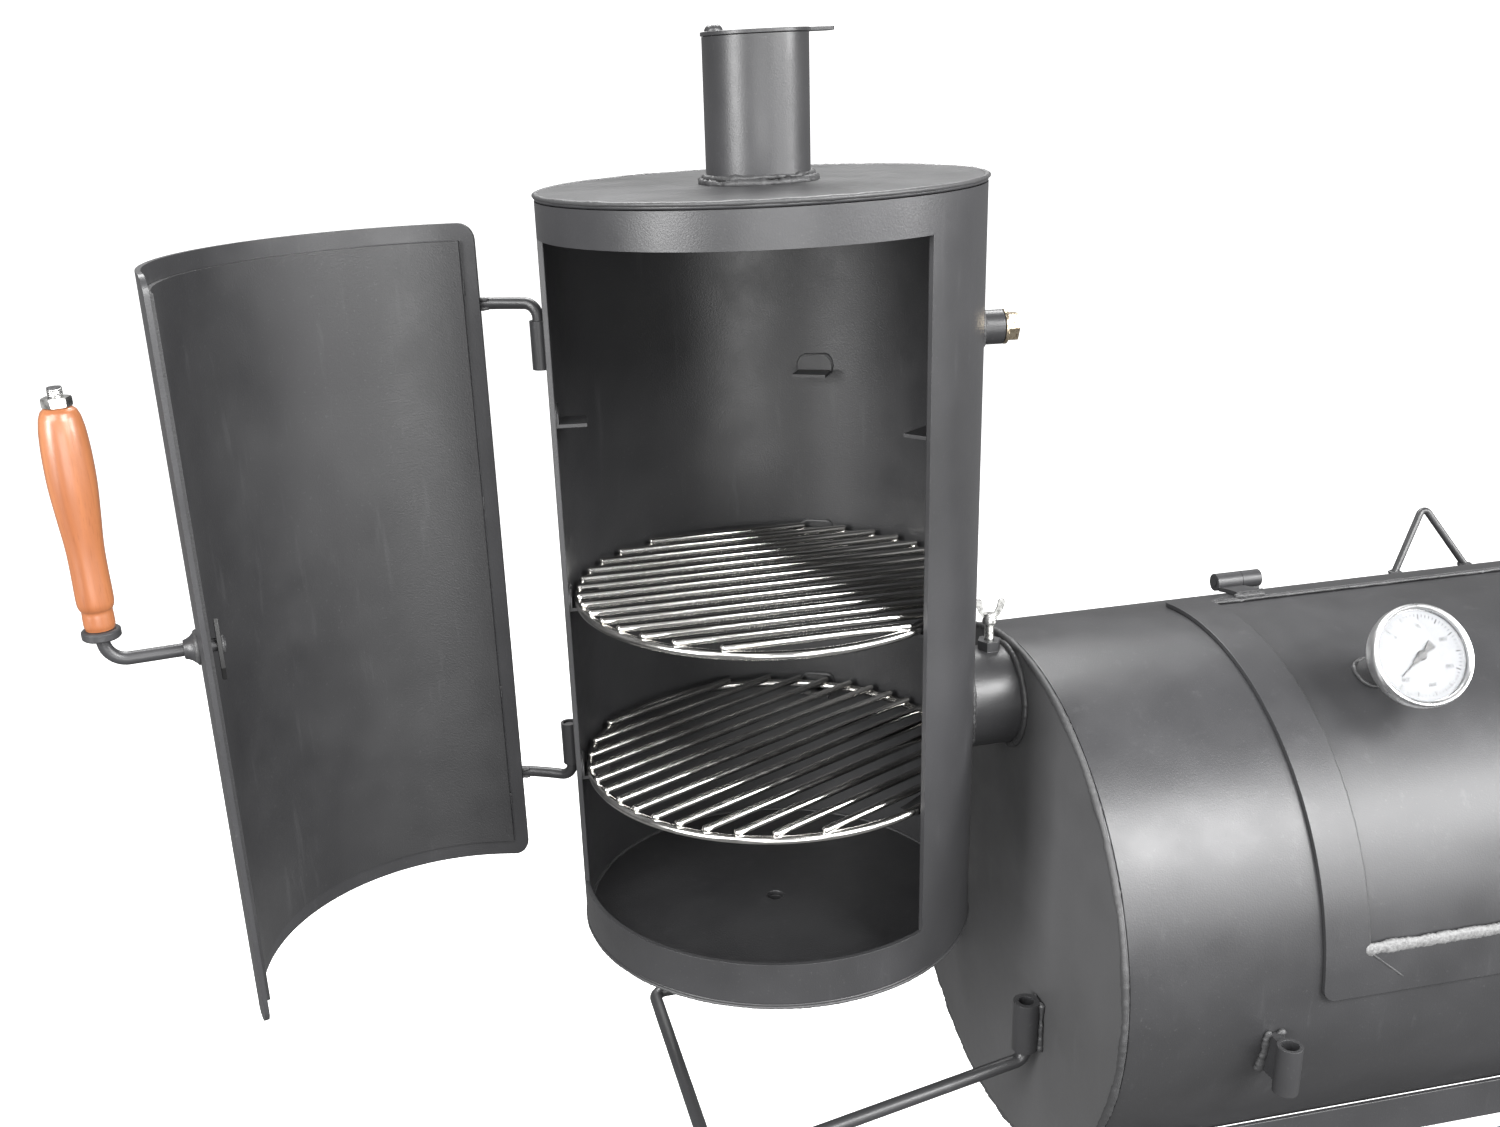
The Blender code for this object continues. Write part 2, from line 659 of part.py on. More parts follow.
    # pointed tongue hanging on the inner end of the spindle
    outline = [(-0.0075, 0.008), (0.0010, 0.021), (0.0075, 0.008), (0.0075, -0.017), (0.0, -0.029),
               (-0.0075, -0.017)]
    bm = bmesh.new()
    prism(bm, outline, tongue_in, tongue_out, spindle_frame)
    tongue = add_piece("door_latch_tongue", bm, STEEL_DARK, turn_axis, origin=pivot)
    bm = bmesh.new()
    disc(bm, bore, 0.14, 0.20, 16, spindle_frame)
    hole = add_piece("cut_latch_tongue", bm, STEEL, turn_axis, origin=pivot, cutter=True)
    combine(tongue, hole, "DIFFERENCE")


def add_grip(name, parent, origin, place, bore):
    """Turned wooden grip standing on local Z, neck at the bottom, bulge near the top."""
    outline = [(bore, 0.0), (0.0104, 0.0), (0.0112, 0.004), (0.0110, 0.014), (0.0128, 0.0185),
               (0.0132, 0.026), (0.0130, 0.045), (0.0133, 0.062), (0.0152, 0.086),
               (0.0167, 0.108), (0.0167, 0.130), (0.0155, 0.149), (0.0128, 0.159),
               (0.0095, GRIP_LENGTH), (bore, GRIP_LENGTH)]
    bm = bmesh.new()
    revolve(bm, outline, 16, place)
    add_piece(name, bm, WOOD, parent, origin=origin)


# ------------------------------------------------------------------ pipe between tower and chamber
def build_connection(root):
    along = frame_along((0, 0, STUB_Z), (1, 0, 0))
    bm = bmesh.new()
    ring(bm, STUB_R - STUB_WALL, STUB_R, TOWER_R - 0.012, CHAMBER_X0 - GAP, 40, along)
    pipe = add_piece("connecting_pipe", bm, STEEL, root)
    bm = bmesh.new()
    disc(bm, TOWER_R + GAP, STUB_Z - 0.1, STUB_Z + 0.1, TOWER_STEPS)
    combine(pipe, add_piece("cut_tower_saddle", bm, STEEL, root, cutter=True), "DIFFERENCE")
    upright = Matrix.Translation((BOLT_X, 0.0, 0.0))
    nut_top = STUB_Z + STUB_R + 0.0085
    bm = bmesh.new()
    prism(bm, hexagon(0.0110), STUB_Z + STUB_R - 0.003, nut_top, upright)
    combine(pipe, add_piece("clamp_nut", bm, STEEL, root, cutter=True), "UNION")
    bm = bmesh.new()
    disc(bm, 0.0043, STUB_Z + 0.02, nut_top + 0.01, 16, upright)
    combine(pipe, add_piece("cut_clamp_nut", bm, STEEL, root, cutter=True), "DIFFERENCE")

    hub = nut_top + 0.016
    origin = (BOLT_X, 0.0, hub)
    bm = bmesh.new()
    revolve(bm, [(0.0, STUB_Z + STUB_R - 0.008), (0.0039, STUB_Z + STUB_R - 0.008),
                 (0.0039, hub), (0.0068, hub), (0.0055, hub + 0.009), (0.0, hub + 0.009)],
            16, upright)
    bolt = add_piece("wing_bolt", bm, ZINC, root, origin=origin)
    turned = Matrix.Translation((BOLT_X, 0.0, hub)) @ Matrix.Rotation(math.radians(-12.0), 4, "Z")
    turned = turned @ Matrix.Rotation(math.radians(90.0), 4, "X")
    outline = [(-0.004, 0.001), (0.004, 0.001), (0.0100, 0.0105), (0.0135, 0.0190),
               (0.0105, 0.0225), (0.0070, 0.0190), (0.0035, 0.0085), (-0.0035, 0.0085),
               (-0.0070, 0.0190), (-0.0105, 0.0225), (-0.0135, 0.0190), (-0.0100, 0.0105)]
    bm = bmesh.new()
    prism(bm, outline, -0.0016, 0.0016, turned)
    wings = add_piece("wing_bolt_ears", bm, ZINC, root, origin=origin, cutter=True)
    combine(bolt, wings, "UNION")


# ------------------------------------------------------------------ cooking chamber
def build_chamber(root):
    inner = CHAMBER_R - CHAMBER_WALL
    length = CHAMBER_LENGTH
    place = chamber_frame(CHAMBER_X0)
    bm = bmesh.new()
    ring(bm, inner, CHAMBER_R, PLATE + GAP, length - PLATE - GAP, CHAMBER_STEPS, place)
    barrel = add_piece("chamber_barrel", bm, STEEL, root)
    lap = math.degrees(LID_LAP / CHAMBER_R)
    open_low = LID_LOW + lap
    open_high = LID_HIGH - lap
    bm = bmesh.new()
    ring(bm, 0.18, 0.32, LID_X0 + LID_LAP - CHAMBER_X0, LID_X1 - LID_LAP - CHAMBER_X0, 20, place,
         open_low, open_high - open_low)
    combine(barrel, add_piece("cut_lid_opening", bm, STEEL, root, cutter=True), "DIFFERENCE")

    bm = bmesh.new()
    disc(bm, CHAMBER_R, 0.0, PLATE, CHAMBER_STEPS, place)
    left = add_piece("chamber_end_left", bm, STEEL, root)
    bm = bmesh.new()
    disc(bm, STUB_R - STUB_WALL, CHAMBER_X0 - 0.02, CHAMBER_X0 + 0.02, 32,
         frame_along((0, 0, STUB_Z), (1, 0, 0)))
    combine(left, add_piece("cut_end_left", bm, STEEL, root, cutter=True), "DIFFERENCE")

    bm = bmesh.new()
    disc(bm, CHAMBER_R, length - PLATE, length, CHAMBER_STEPS, place)
    right = add_piece("chamber_end_right", bm, STEEL, root)
    bm = bmesh.new()
    disc(bm, SMOKE_HOLE_R, CHAMBER_X1 - 0.03, CHAMBER_X1 + 0.03, 40,
         frame_along((0, 0, SMOKE_HOLE_Z), (1, 0, 0)))
    hole = add_piece("cut_smoke_hole", bm, STEEL, root, cutter=True)
    combine(right, hole, "DIFFERENCE")

    # flat ledges inside the barrel, and two bar grates resting on them
    ledge_z = CHAMBER_Z - 0.032
    for name, sign in (("chamber_ledge_front", -1.0), ("chamber_ledge_rear", 1.0)):
        low = min(sign * 0.2150, sign * 0.2460)
        high = max(sign * 0.2150, sign * 0.2460)
        bm = bmesh.new()
        block(bm, (CHAMBER_X0 + 0.020, low, ledge_z - 0.004), (CHAMBER_X1 - 0.020, high, ledge_z))
        add_piece(name, bm, STEEL_DARK, root, smooth=0)
    middle = (CHAMBER_X0 + CHAMBER_X1) / 2.0
    half = (CHAMBER_LENGTH - 0.060) / 2.0
    bar_grate("chamber_grate_left", middle - half, middle - 0.003, ledge_z, root)
    bar_grate("chamber_grate_right", middle + 0.003, middle + half, ledge_z, root)
    return hole


def bar_grate(name, x0, x1, ledge_z, root):
    rod = 0.004
    z = ledge_z + GAP + rod
    y = 0.236
    origin = ((x0 + x1) / 2.0, 0.0, z)
    corners = [(x0 + rod, -y), (x1 - rod, -y), (x1 - rod, y), (x0 + rod, y)]
    loop = [Vector((px, py, z)) for px, py in corners]
    bm = bmesh.new()
    round_rod(bm, [loop[0], loop[1]], rod, 8)
    grate = add_piece(name, bm, STAINLESS, root, origin=origin)
    bm = bmesh.new()
    round_rod(bm, [loop[3], loop[2]], rod, 8)
    rail = add_piece(name + "_rail", bm, STAINLESS, root, origin=origin, cutter=True)
    bm = bmesh.new()
    count = 12
    lift = z + rod + 0.003 - 0.0008
    for k in range(count):
        x = x0 + rod + 0.008 + (x1 - x0 - 2.0 * rod - 0.016) * k / (count - 1)
        round_rod(bm, [Vector((x, -y - 0.002, lift)), Vector((x, y + 0.002, lift))], 0.003, 6)
    bars = add_piece(name + "_bars", bm, STAINLESS, root, origin=origin, cutter=True)
    combine(grate, bars, "UNION")
    combine(grate, rail, "UNION")


# ------------------------------------------------------------------ chamber lid
def build_lid(root):
    inner = CHAMBER_R - CHAMBER_WALL
    place = chamber_frame(0.0)
    middle = (LID_X0 + LID_X1) / 2.0
    hinge = place @ polar(LID_HINGE_RADIUS, LID_HINGE_ANGLE, middle)
    axis = axis_empty("lid_axis", hinge, root)
    lap = math.degrees(LID_LAP / CHAMBER_R)
    kerf = math.degrees(DOOR_KERF / CHAMBER_R)
    a0 = LID_LOW + lap + kerf
    a1 = LID_HIGH - lap - kerf
    x0 = LID_X0 + LID_LAP + DOOR_KERF
    x1 = LID_X1 - LID_LAP - DOOR_KERF
    bm = bmesh.new()
    arc_sheet(bm, inner, CHAMBER_R, a0, a1, x0, x1, 20, place)
    panel = add_piece("lid_panel", bm, STEEL, axis, origin=hinge)

    strip_in = CHAMBER_R + GAP
    strip_out = strip_in + LID_STRIP_THICK
    width = math.degrees(LID_STRIP_WIDTH / CHAMBER_R)
    outer = (LID_LOW, LID_HIGH, LID_X0, LID_X1)
    top_width = math.degrees(LID_TOP_STRIP_WIDTH / CHAMBER_R)
    window = (LID_LOW + width, LID_HIGH - top_width, LID_X0 + LID_STRIP_WIDTH,
              LID_X1 - LID_STRIP_WIDTH)
    bm = bmesh.new()
    wrapped_frame(bm, strip_in, strip_out, outer, window, 0.012, 5.0, place)
    add_piece("lid_frame_strips", bm, STEEL, axis, origin=hinge)

    # two hinges: a curved leaf and knuckle on the lid, a pin and knuckle bracket on the barrel
    for side, near, step in (("left", LID_X0 + LID_HINGE_INSET, 1.0),
                             ("right", LID_X1 - LID_HINGE_INSET, -1.0)):
        far = near + step * 0.026
        low = min(near, far)
        high = max(near, far)
        knuckle = chamber_frame(0.0) @ Matrix.Translation(
            polar(LID_HINGE_RADIUS, LID_HINGE_ANGLE, 0.0))
        bm = bmesh.new()
        ring(bm, LID_PIN_R + GAP, LID_KNUCKLE_R, low, high, 16, knuckle)
        leaf = add_piece("lid_hinge_leaf_" + side, bm, STEEL, axis, origin=hinge)
        bm = bmesh.new()
        arc_sheet(bm, strip_out + GAP, strip_out + GAP + 0.004, LID_HIGH - top_width + 1.0,
                  LID_HINGE_ANGLE - 1.4, low + 0.0005, high - 0.0005, 4, place)
        strap = add_piece("lid_leaf_strap_" + side, bm, STEEL, axis, origin=hinge, cutter=True)
        combine(leaf, strap, "UNION")
        bm = bmesh.new()
        disc(bm, LID_PIN_R + GAP, low - 0.01, high + 0.01, 16, knuckle)
        bore = add_piece("cut_leaf_bore_" + side, bm, STEEL, axis, origin=hinge, cutter=True)
        combine(leaf, bore, "DIFFERENCE")

        start = far + step * GAP
        final = start + step * 0.020
        low = min(start, final)
        high = max(start, final)
        bm = bmesh.new()
        disc(bm, LID_KNUCKLE_R, low, high, 16, knuckle)
        bracket = add_piece("lid_hinge_bracket_" + side, bm, STEEL, root)
        reach = near - step * 0.0005
        bm = bmesh.new()
        inside = final - step * 0.003
        disc(bm, LID_PIN_R, min(reach, inside), max(reach, inside), 16, knuckle)
        pin = add_piece("lid_pin_" + side, bm, STEEL, root, cutter=True)
        combine(bracket, pin, "UNION")
        bm = bmesh.new()
        arc_sheet(bm, CHAMBER_R + GAP, CHAMBER_R + 0.008, LID_HINGE_ANGLE - 0.6,
                  LID_HINGE_ANGLE + 1.6, low + 0.0005, high - 0.0005, 2, place)
        foot = add_piece("lid_bracket_foot_" + side, bm, STEEL, root, cutter=True)
        combine(bracket, foot, "UNION")

    # stop rod standing behind the hinge line
    rod = 0.0036
    foot_angle = 90.0 + math.degrees(math.asin(STOP_FOOT_Y / CHAMBER_R))
    foot = place @ polar(CHAMBER_R + GAP + 0.0016, foot_angle, middle)
    spread = Vector((0.041, 0.0, 0.0))
    apex = Vector((middle, foot.y + 0.0225, CHAMBER_Z + 0.288))
    path = bent_path([foot - spread, apex, foot + spread], 0.006)
    bm = bmesh.new()
    round_rod(bm, path, rod, 8)
    stop = add_piece("lid_stop_rod", bm, STEEL, root)
    bm = bmesh.new()
    disc(bm, CHAMBER_R + GAP, LID_X0, LID_X1, CHAMBER_STEPS, place)
    combine(stop, add_piece("cut_stop_feet", bm, STEEL, root, cutter=True), "DIFFERENCE")

    # lid handle: bent bar with a turned grip between its posts
    angle = 24.0
    seat = CHAMBER_R + GAP
    reach = seat + 0.070
    span = 0.125
    low = middle - span
    high = middle + span
    corners = [place @ polar(seat + 0.0002, angle, low), place @ polar(reach, angle, low),
               place @ polar(reach, angle, high), place @ polar(seat + 0.0002, angle, high)]
    bm = bmesh.new()
    round_rod(bm, bent_path(corners, 0.018), HINGE_ROD, 10)
    add_piece("lid_handle_bar", bm, STEEL, axis, origin=hinge)
    grip_place = frame_along(place @ polar(reach, angle, middle - GRIP_LENGTH / 2.0), (1, 0, 0))
    add_grip("lid_handle_grip", axis, hinge, grip_place, HINGE_ROD + GAP)

    # thermometer: case with its stem through the lid, dial and pointer
    centre = place @ polar(CHAMBER_R, THERMO_ANGLE, THERMO_X)
    rise = math.radians(THERMO_RISE)
    turn = math.radians(THERMO_TURN)
    out = Vector((-math.sin(turn) * math.cos(rise), -math.cos(turn) * math.cos(rise),
                  math.sin(rise)))
    dial = frame_along(centre, out, up=(1.0, 0.0, 0.0))
    bm = bmesh.new()
    disc(bm, 0.0091, -0.02, 0.02, 16, dial)
    hole = add_piece("cut_thermometer", bm, STEEL, axis, origin=hinge, cutter=True)
    combine(panel, hole, "DIFFERENCE")
    bm = bmesh.new()
    revolve(bm, [(0.0, -0.070), (0.0030, -0.070), (0.0030, -0.014), (0.0085, -0.014),
                 (0.0085, 0.0560), (0.0200, 0.0585), (0.0390, 0.0660), (0.0432, 0.0700),
                 (0.0440, 0.0810), (0.0434, 0.0830), (0.0412, 0.0835), (0.0392, 0.0820),
                 (0.0392, 0.0770), (0.0014, 0.0770), (0.0014, 0.0730), (0.0, 0.0730)], 24, dial)
    case = add_piece("thermometer_case", bm, ZINC, axis, origin=hinge)
    bm = bmesh.new()
    ring(bm, 0.0075, 0.0128, -0.012, 0.043, 20, dial)
    coupling = add_piece("thermometer_coupling", bm, ZINC, axis, origin=hinge, cutter=True)
    bm = bmesh.new()
    disc(bm, CHAMBER_R + GAP, LID_X0, LID_X1, CHAMBER_STEPS, place)
    saddle = add_piece("cut_thermometer_coupling", bm, ZINC, axis, origin=hinge, cutter=True)
    combine(coupling, saddle, "DIFFERENCE")
    combine(case, coupling, "UNION")
    bm = bmesh.new()
    ring(bm, 0.0016, 0.0387, 0.0770 + GAP, 0.0782, 24, dial)
    add_piece("thermometer_dial", bm, WHITE, axis, origin=hinge)
    tip = Matrix.Rotation(math.radians(36.0), 4, "Z")
    pivot = centre + out * 0.079
    bm = bmesh.new()
    revolve(bm, [(0.0, 0.0734), (0.0009, 0.0734), (0.0009, 0.0790), (0.0042, 0.0790),
                 (0.0042, 0.0802), (0.0, 0.0802)], 16, dial)
    pointer = add_piece("thermometer_pointer", bm, POINTER, axis, origin=pivot)
    outline = [(-0.0016, -0.011), (0.0016, -0.011), (0.0013, 0.010), (0.0004, 0.028),
               (-0.0004, 0.028), (-0.0013, 0.010)]
    bm = bmesh.new()
    prism(bm, outline, 0.0792, 0.0800, dial @ tip)
    needle = add_piece("pointer_needle", bm, POINTER, axis, origin=pivot, cutter=True)
    combine(pointer, needle, "UNION")


# ------------------------------------------------------------------ sockets and pull bar
def build_sockets(root):
    x = CHAMBER_X0 - SOCKET_R - 0.002
    for name, sign in (("pull_bar_socket_front", -1.0), ("pull_bar_socket_rear", 1.0)):
        y = sign * SOCKET_Y
        bm = bmesh.new()
        ring(bm, PULL_ROD + GAP, SOCKET_R, SOCKET_Z[0], SOCKET_Z[1], 16,
             Matrix.Translation((x, y, 0.0)))
        socket = add_piece(name, bm, STEEL, root)
        bm = bmesh.new()
        block(bm, (x + SOCKET_R - 0.003, y - 0.005, SOCKET_Z[0] + 0.003),
              (CHAMBER_X0 - GAP, y + 0.005, SOCKET_Z[1] - 0.003))
        combine(socket, add_piece(name + "_web", bm, STEEL, root, cutter=True), "UNION")
    top = SOCKET_Z[1] - 0.012
    knee = SOCKET_Z[0] - 0.012
    corners = [(x, -SOCKET_Y, top), (x, -SOCKET_Y, knee), (PULL_BAR_X, -PULL_BAR_HALF, PULL_BAR_Z),
               (PULL_BAR_X, PULL_BAR_HALF, PULL_BAR_Z), (x, SOCKET_Y, knee), (x, SOCKET_Y, top)]
    bm = bmesh.new()
    round_rod(bm, bent_path(corners, 0.011, 4), PULL_ROD, 8)
    add_piece("pull_bar", bm, STEEL, root)

    middle = (LID_X0 + LID_X1) / 2.0
    for name, px in (("shelf_socket_left", SHELF_SOCKET_X),
                     ("shelf_socket_right", 2 * middle - SHELF_SOCKET_X)):
        place = Matrix.Translation((px, SHELF_SOCKET_Y, 0.0))
        low = 0.8340
        high = 0.8790
        bm = bmesh.new()
        ring(bm, 0.0072, 0.0105, low, high, 16, place)
        socket = add_piece(name, bm, STEEL, root)
        bm = bmesh.new()
        block(bm, (px - 0.0045, SHELF_SOCKET_Y + 0.0085, low + 0.003),
              (px + 0.0045, -0.2400, high - 0.003))
        combine(socket, add_piece(name + "_web", bm, STEEL, root, cutter=True), "UNION")
        bm = bmesh.new()
        disc(bm, CHAMBER_R + GAP, px - 0.03, px + 0.03, CHAMBER_STEPS, chamber_frame(0.0))
        combine(socket, add_piece("cut_" + name, bm, STEEL, root, cutter=True), "DIFFERENCE")


# ------------------------------------------------------------------ firebox
def build_firebox(root, smoke_hole):
    along = frame_along((0, 0, FIREBOX_Z), (1, 0, 0))
    radius = CHAMBER_R
    bm = bmesh.new()
    disc(bm, radius, FIREBOX_X0, FIREBOX_X0 + PLATE, CHAMBER_STEPS, along)
    inner_end = add_piece("firebox_inner_end", bm, STEEL, root)
    combine(inner_end, smoke_hole, "DIFFERENCE")
    bm = bmesh.new()
    ring(bm, radius - FIREBOX_WALL, radius, FIREBOX_X0 + PLATE + GAP, FIREBOX_X1 - PLATE - GAP,
         CHAMBER_STEPS, along)
    add_piece("firebox_shell", bm, STEEL, root)

    bm = bmesh.new()
    disc(bm, radius, FIREBOX_X1 - PLATE, FIREBOX_X1, CHAMBER_STEPS, along)
    outer_end = add_piece("firebox_outer_end", bm, STEEL, root)
    bm = bmesh.new()
    block(bm, (FIREBOX_X1 - 0.03, -FIRE_HOLE_HALF, FIREBOX_Z - 0.120),
          (FIREBOX_X1 + 0.03, FIRE_HOLE_HALF - 0.006, FIREBOX_Z + 0.090))
    combine(outer_end, add_piece("cut_fire_door", bm, STEEL, root, cutter=True), "DIFFERENCE")

    # hinge post on the rear side of the fire door
    post_x = FIREBOX_X1 + 0.016
    post_y = 0.165
    for k, z in enumerate((FIREBOX_Z - 0.105, FIREBOX_Z + 0.075)):
        bm = bmesh.new()
        block(bm, (FIREBOX_X1 - 0.002, post_y - 0.008, z - 0.008),
              (post_x + 0.006, post_y + 0.008, z + 0.008))
        combine(outer_end, add_piece("post_lug_%d" % k, bm, STEEL, root, cutter=True), "UNION")
    bm = bmesh.new()
    disc(bm, 0.0045, FIREBOX_Z - 0.105, FIREBOX_Z + 0.075, 16,
         Matrix.Translation((post_x, post_y, 0.0)))
    combine(outer_end, add_piece("hinge_post", bm, STEEL, root, cutter=True), "UNION")

    origin = (post_x, post_y, FIREBOX_Z)
    door_x = FIREBOX_X1 + GAP
    bm = bmesh.new()
    block(bm, (door_x, -0.145, FIREBOX_Z - 0.140), (door_x + 0.006, 0.148, FIREBOX_Z + 0.110))
    door = add_piece("firebox_door", bm, STEEL, root, origin=origin)
    for k, z in enumerate((FIREBOX_Z - 0.085, FIREBOX_Z + 0.030)):
        bm = bmesh.new()
        block(bm, (door_x + 0.004, 0.135, z + 0.0006), (door_x + 0.0090, post_y, z + 0.0294))
        web = add_piece("fire_knuckle_web_%d" % k, bm, STEEL, root, origin=origin, cutter=True)
        combine(door, web, "UNION")
        bm = bmesh.new()
        ring(bm, 0.0045 + GAP, 0.0090, z, z + 0.030, 16, Matrix.Translation((post_x, post_y, 0.0)))
        part = add_piece("fire_knuckle_%d" % k, bm, STEEL, root, origin=origin, cutter=True)
        combine(door, part, "UNION")
    bm = bmesh.new()
    for k in range(3):
        block(bm, (door_x - 0.01, -0.075 + 0.050 * k, FIREBOX_Z - 0.100),
              (door_x + 0.02, -0.050 + 0.050 * k, FIREBOX_Z - 0.050))
    combine(door, add_piece("cut_air_slots", bm, STEEL, root, origin=origin, cutter=True),
            "DIFFERENCE")
    # guide rails with lips holding the sliding air plate
    bm = bmesh.new()
    for low in (FIREBOX_Z - 0.113, FIREBOX_Z - 0.045):
        block(bm, (door_x + 0.005, -0.115, low), (door_x + 0.012, 0.065, low + 0.006))
    combine(door, add_piece("air_guides", bm, STEEL, root, origin=origin, cutter=True), "UNION")
    bm = bmesh.new()
    for low in (FIREBOX_Z - 0.112, FIREBOX_Z - 0.0495):
        block(bm, (door_x + 0.010, -0.114, low), (door_x + 0.013, 0.064, low + 0.0095))
    combine(door, add_piece("air_lips", bm, STEEL, root, origin=origin, cutter=True), "UNION")

    slide_x = door_x + 0.006 + GAP
    origin_slide = (slide_x, 0.0, FIREBOX_Z - 0.075)
    bm = bmesh.new()
    block(bm, (slide_x, -0.105, FIREBOX_Z - 0.1065), (slide_x + 0.003, 0.045, FIREBOX_Z - 0.0455))
    slide = add_piece("firebox_air_slide", bm, STEEL, root, origin=origin_slide)
    bm = bmesh.new()
    for k in range(3):
        block(bm, (slide_x - 0.01, -0.100 + 0.050 * k, FIREBOX_Z - 0.098),
              (slide_x + 0.02, -0.080 + 0.050 * k, FIREBOX_Z - 0.052))
    combine(slide, add_piece("cut_slide_slots", bm, STEEL, root, origin=origin_slide, cutter=True),
            "DIFFERENCE")
    knob = frame_along((0, 0.032, FIREBOX_Z - 0.075), (1, 0, 0))
    bm = bmesh.new()
    revolve(bm, [(0.0, slide_x + 0.001), (0.004, slide_x + 0.001), (0.004, slide_x + 0.012),
                 (0.010, slide_x + 0.014), (0.010, slide_x + 0.022), (0.0, slide_x + 0.024)], 16,
            knob)
    combine(slide, add_piece("air_knob", bm, STEEL, root, origin=origin_slide, cutter=True),
            "UNION")

    # lever latch on the front side of the fire door
    lever_y = -0.118
    lever_z = FIREBOX_Z + 0.050
    pivot = frame_along((0, lever_y, lever_z), (1, 0, 0))
    bm = bmesh.new()
    disc(bm, 0.0054, door_x - 0.02, door_x + 0.03, 16, pivot)
    combine(door, add_piece("cut_lever", bm, STEEL, root, origin=origin, cutter=True),
            "DIFFERENCE")
    start = Vector((FIREBOX_X1 - 0.018, lever_y, lever_z))
    corner = Vector((door_x + 0.060, lever_y, lever_z))
    final = Vector((door_x + 0.060, lever_y, lever_z - 0.130))
    bm = bmesh.new()
    round_rod(bm, bent_path([start, corner, final], 0.014), HINGE_ROD, 10)
    lever = add_piece("firebox_door_latch", bm, STEEL, root, origin=(door_x, lever_y, lever_z))
    bm = bmesh.new()
    block(bm, (FIREBOX_X1 - 0.0165, lever_y - 0.007, lever_z - 0.032),
          (FIREBOX_X1 - 0.0125, lever_y + 0.007, lever_z + 0.007))
    tongue = add_piece("fire_tongue", bm, STEEL, root, origin=(door_x, lever_y, lever_z),
                       cutter=True)
    combine(lever, tongue, "UNION")

    # fire grate resting low inside the shell
    z = FIREBOX_Z - 0.120
    half = math.sqrt((radius - FIREBOX_WALL) ** 2 - 0.128 ** 2) - 0.003
    x0 = FIREBOX_X0 + 0.020
    x1 = FIREBOX_X1 - 0.020
    bm = bmesh.new()
    for y in (-half * 0.55, half * 0.55):
        round_rod(bm, [Vector((x0, y, z)), Vector((x1, y, z))], 0.005, 6)
    cross = add_piece("fire_grate_rails", bm, STEEL_DARK, root, cutter=True)
    bm = bmesh.new()
    round_rod(bm, [Vector((x0 + 0.005, -half, z)), Vector((x0 + 0.005, half, z))], 0.006, 6)
    grate = add_piece("firebox_grate", bm, STEEL_DARK, root)
    combine(grate, cross, "UNION")
    bm = bmesh.new()
    count = 10
    for k in range(1, count):
        x = x0 + 0.005 + (x1 - x0 - 0.010) * k / (count - 1)
        round_rod(bm, [Vector((x, -half, z)), Vector((x, half, z))], 0.006, 6)
    combine(grate, add_piece("fire_grate_bars", bm, STEEL_DARK, root, cutter=True), "UNION")


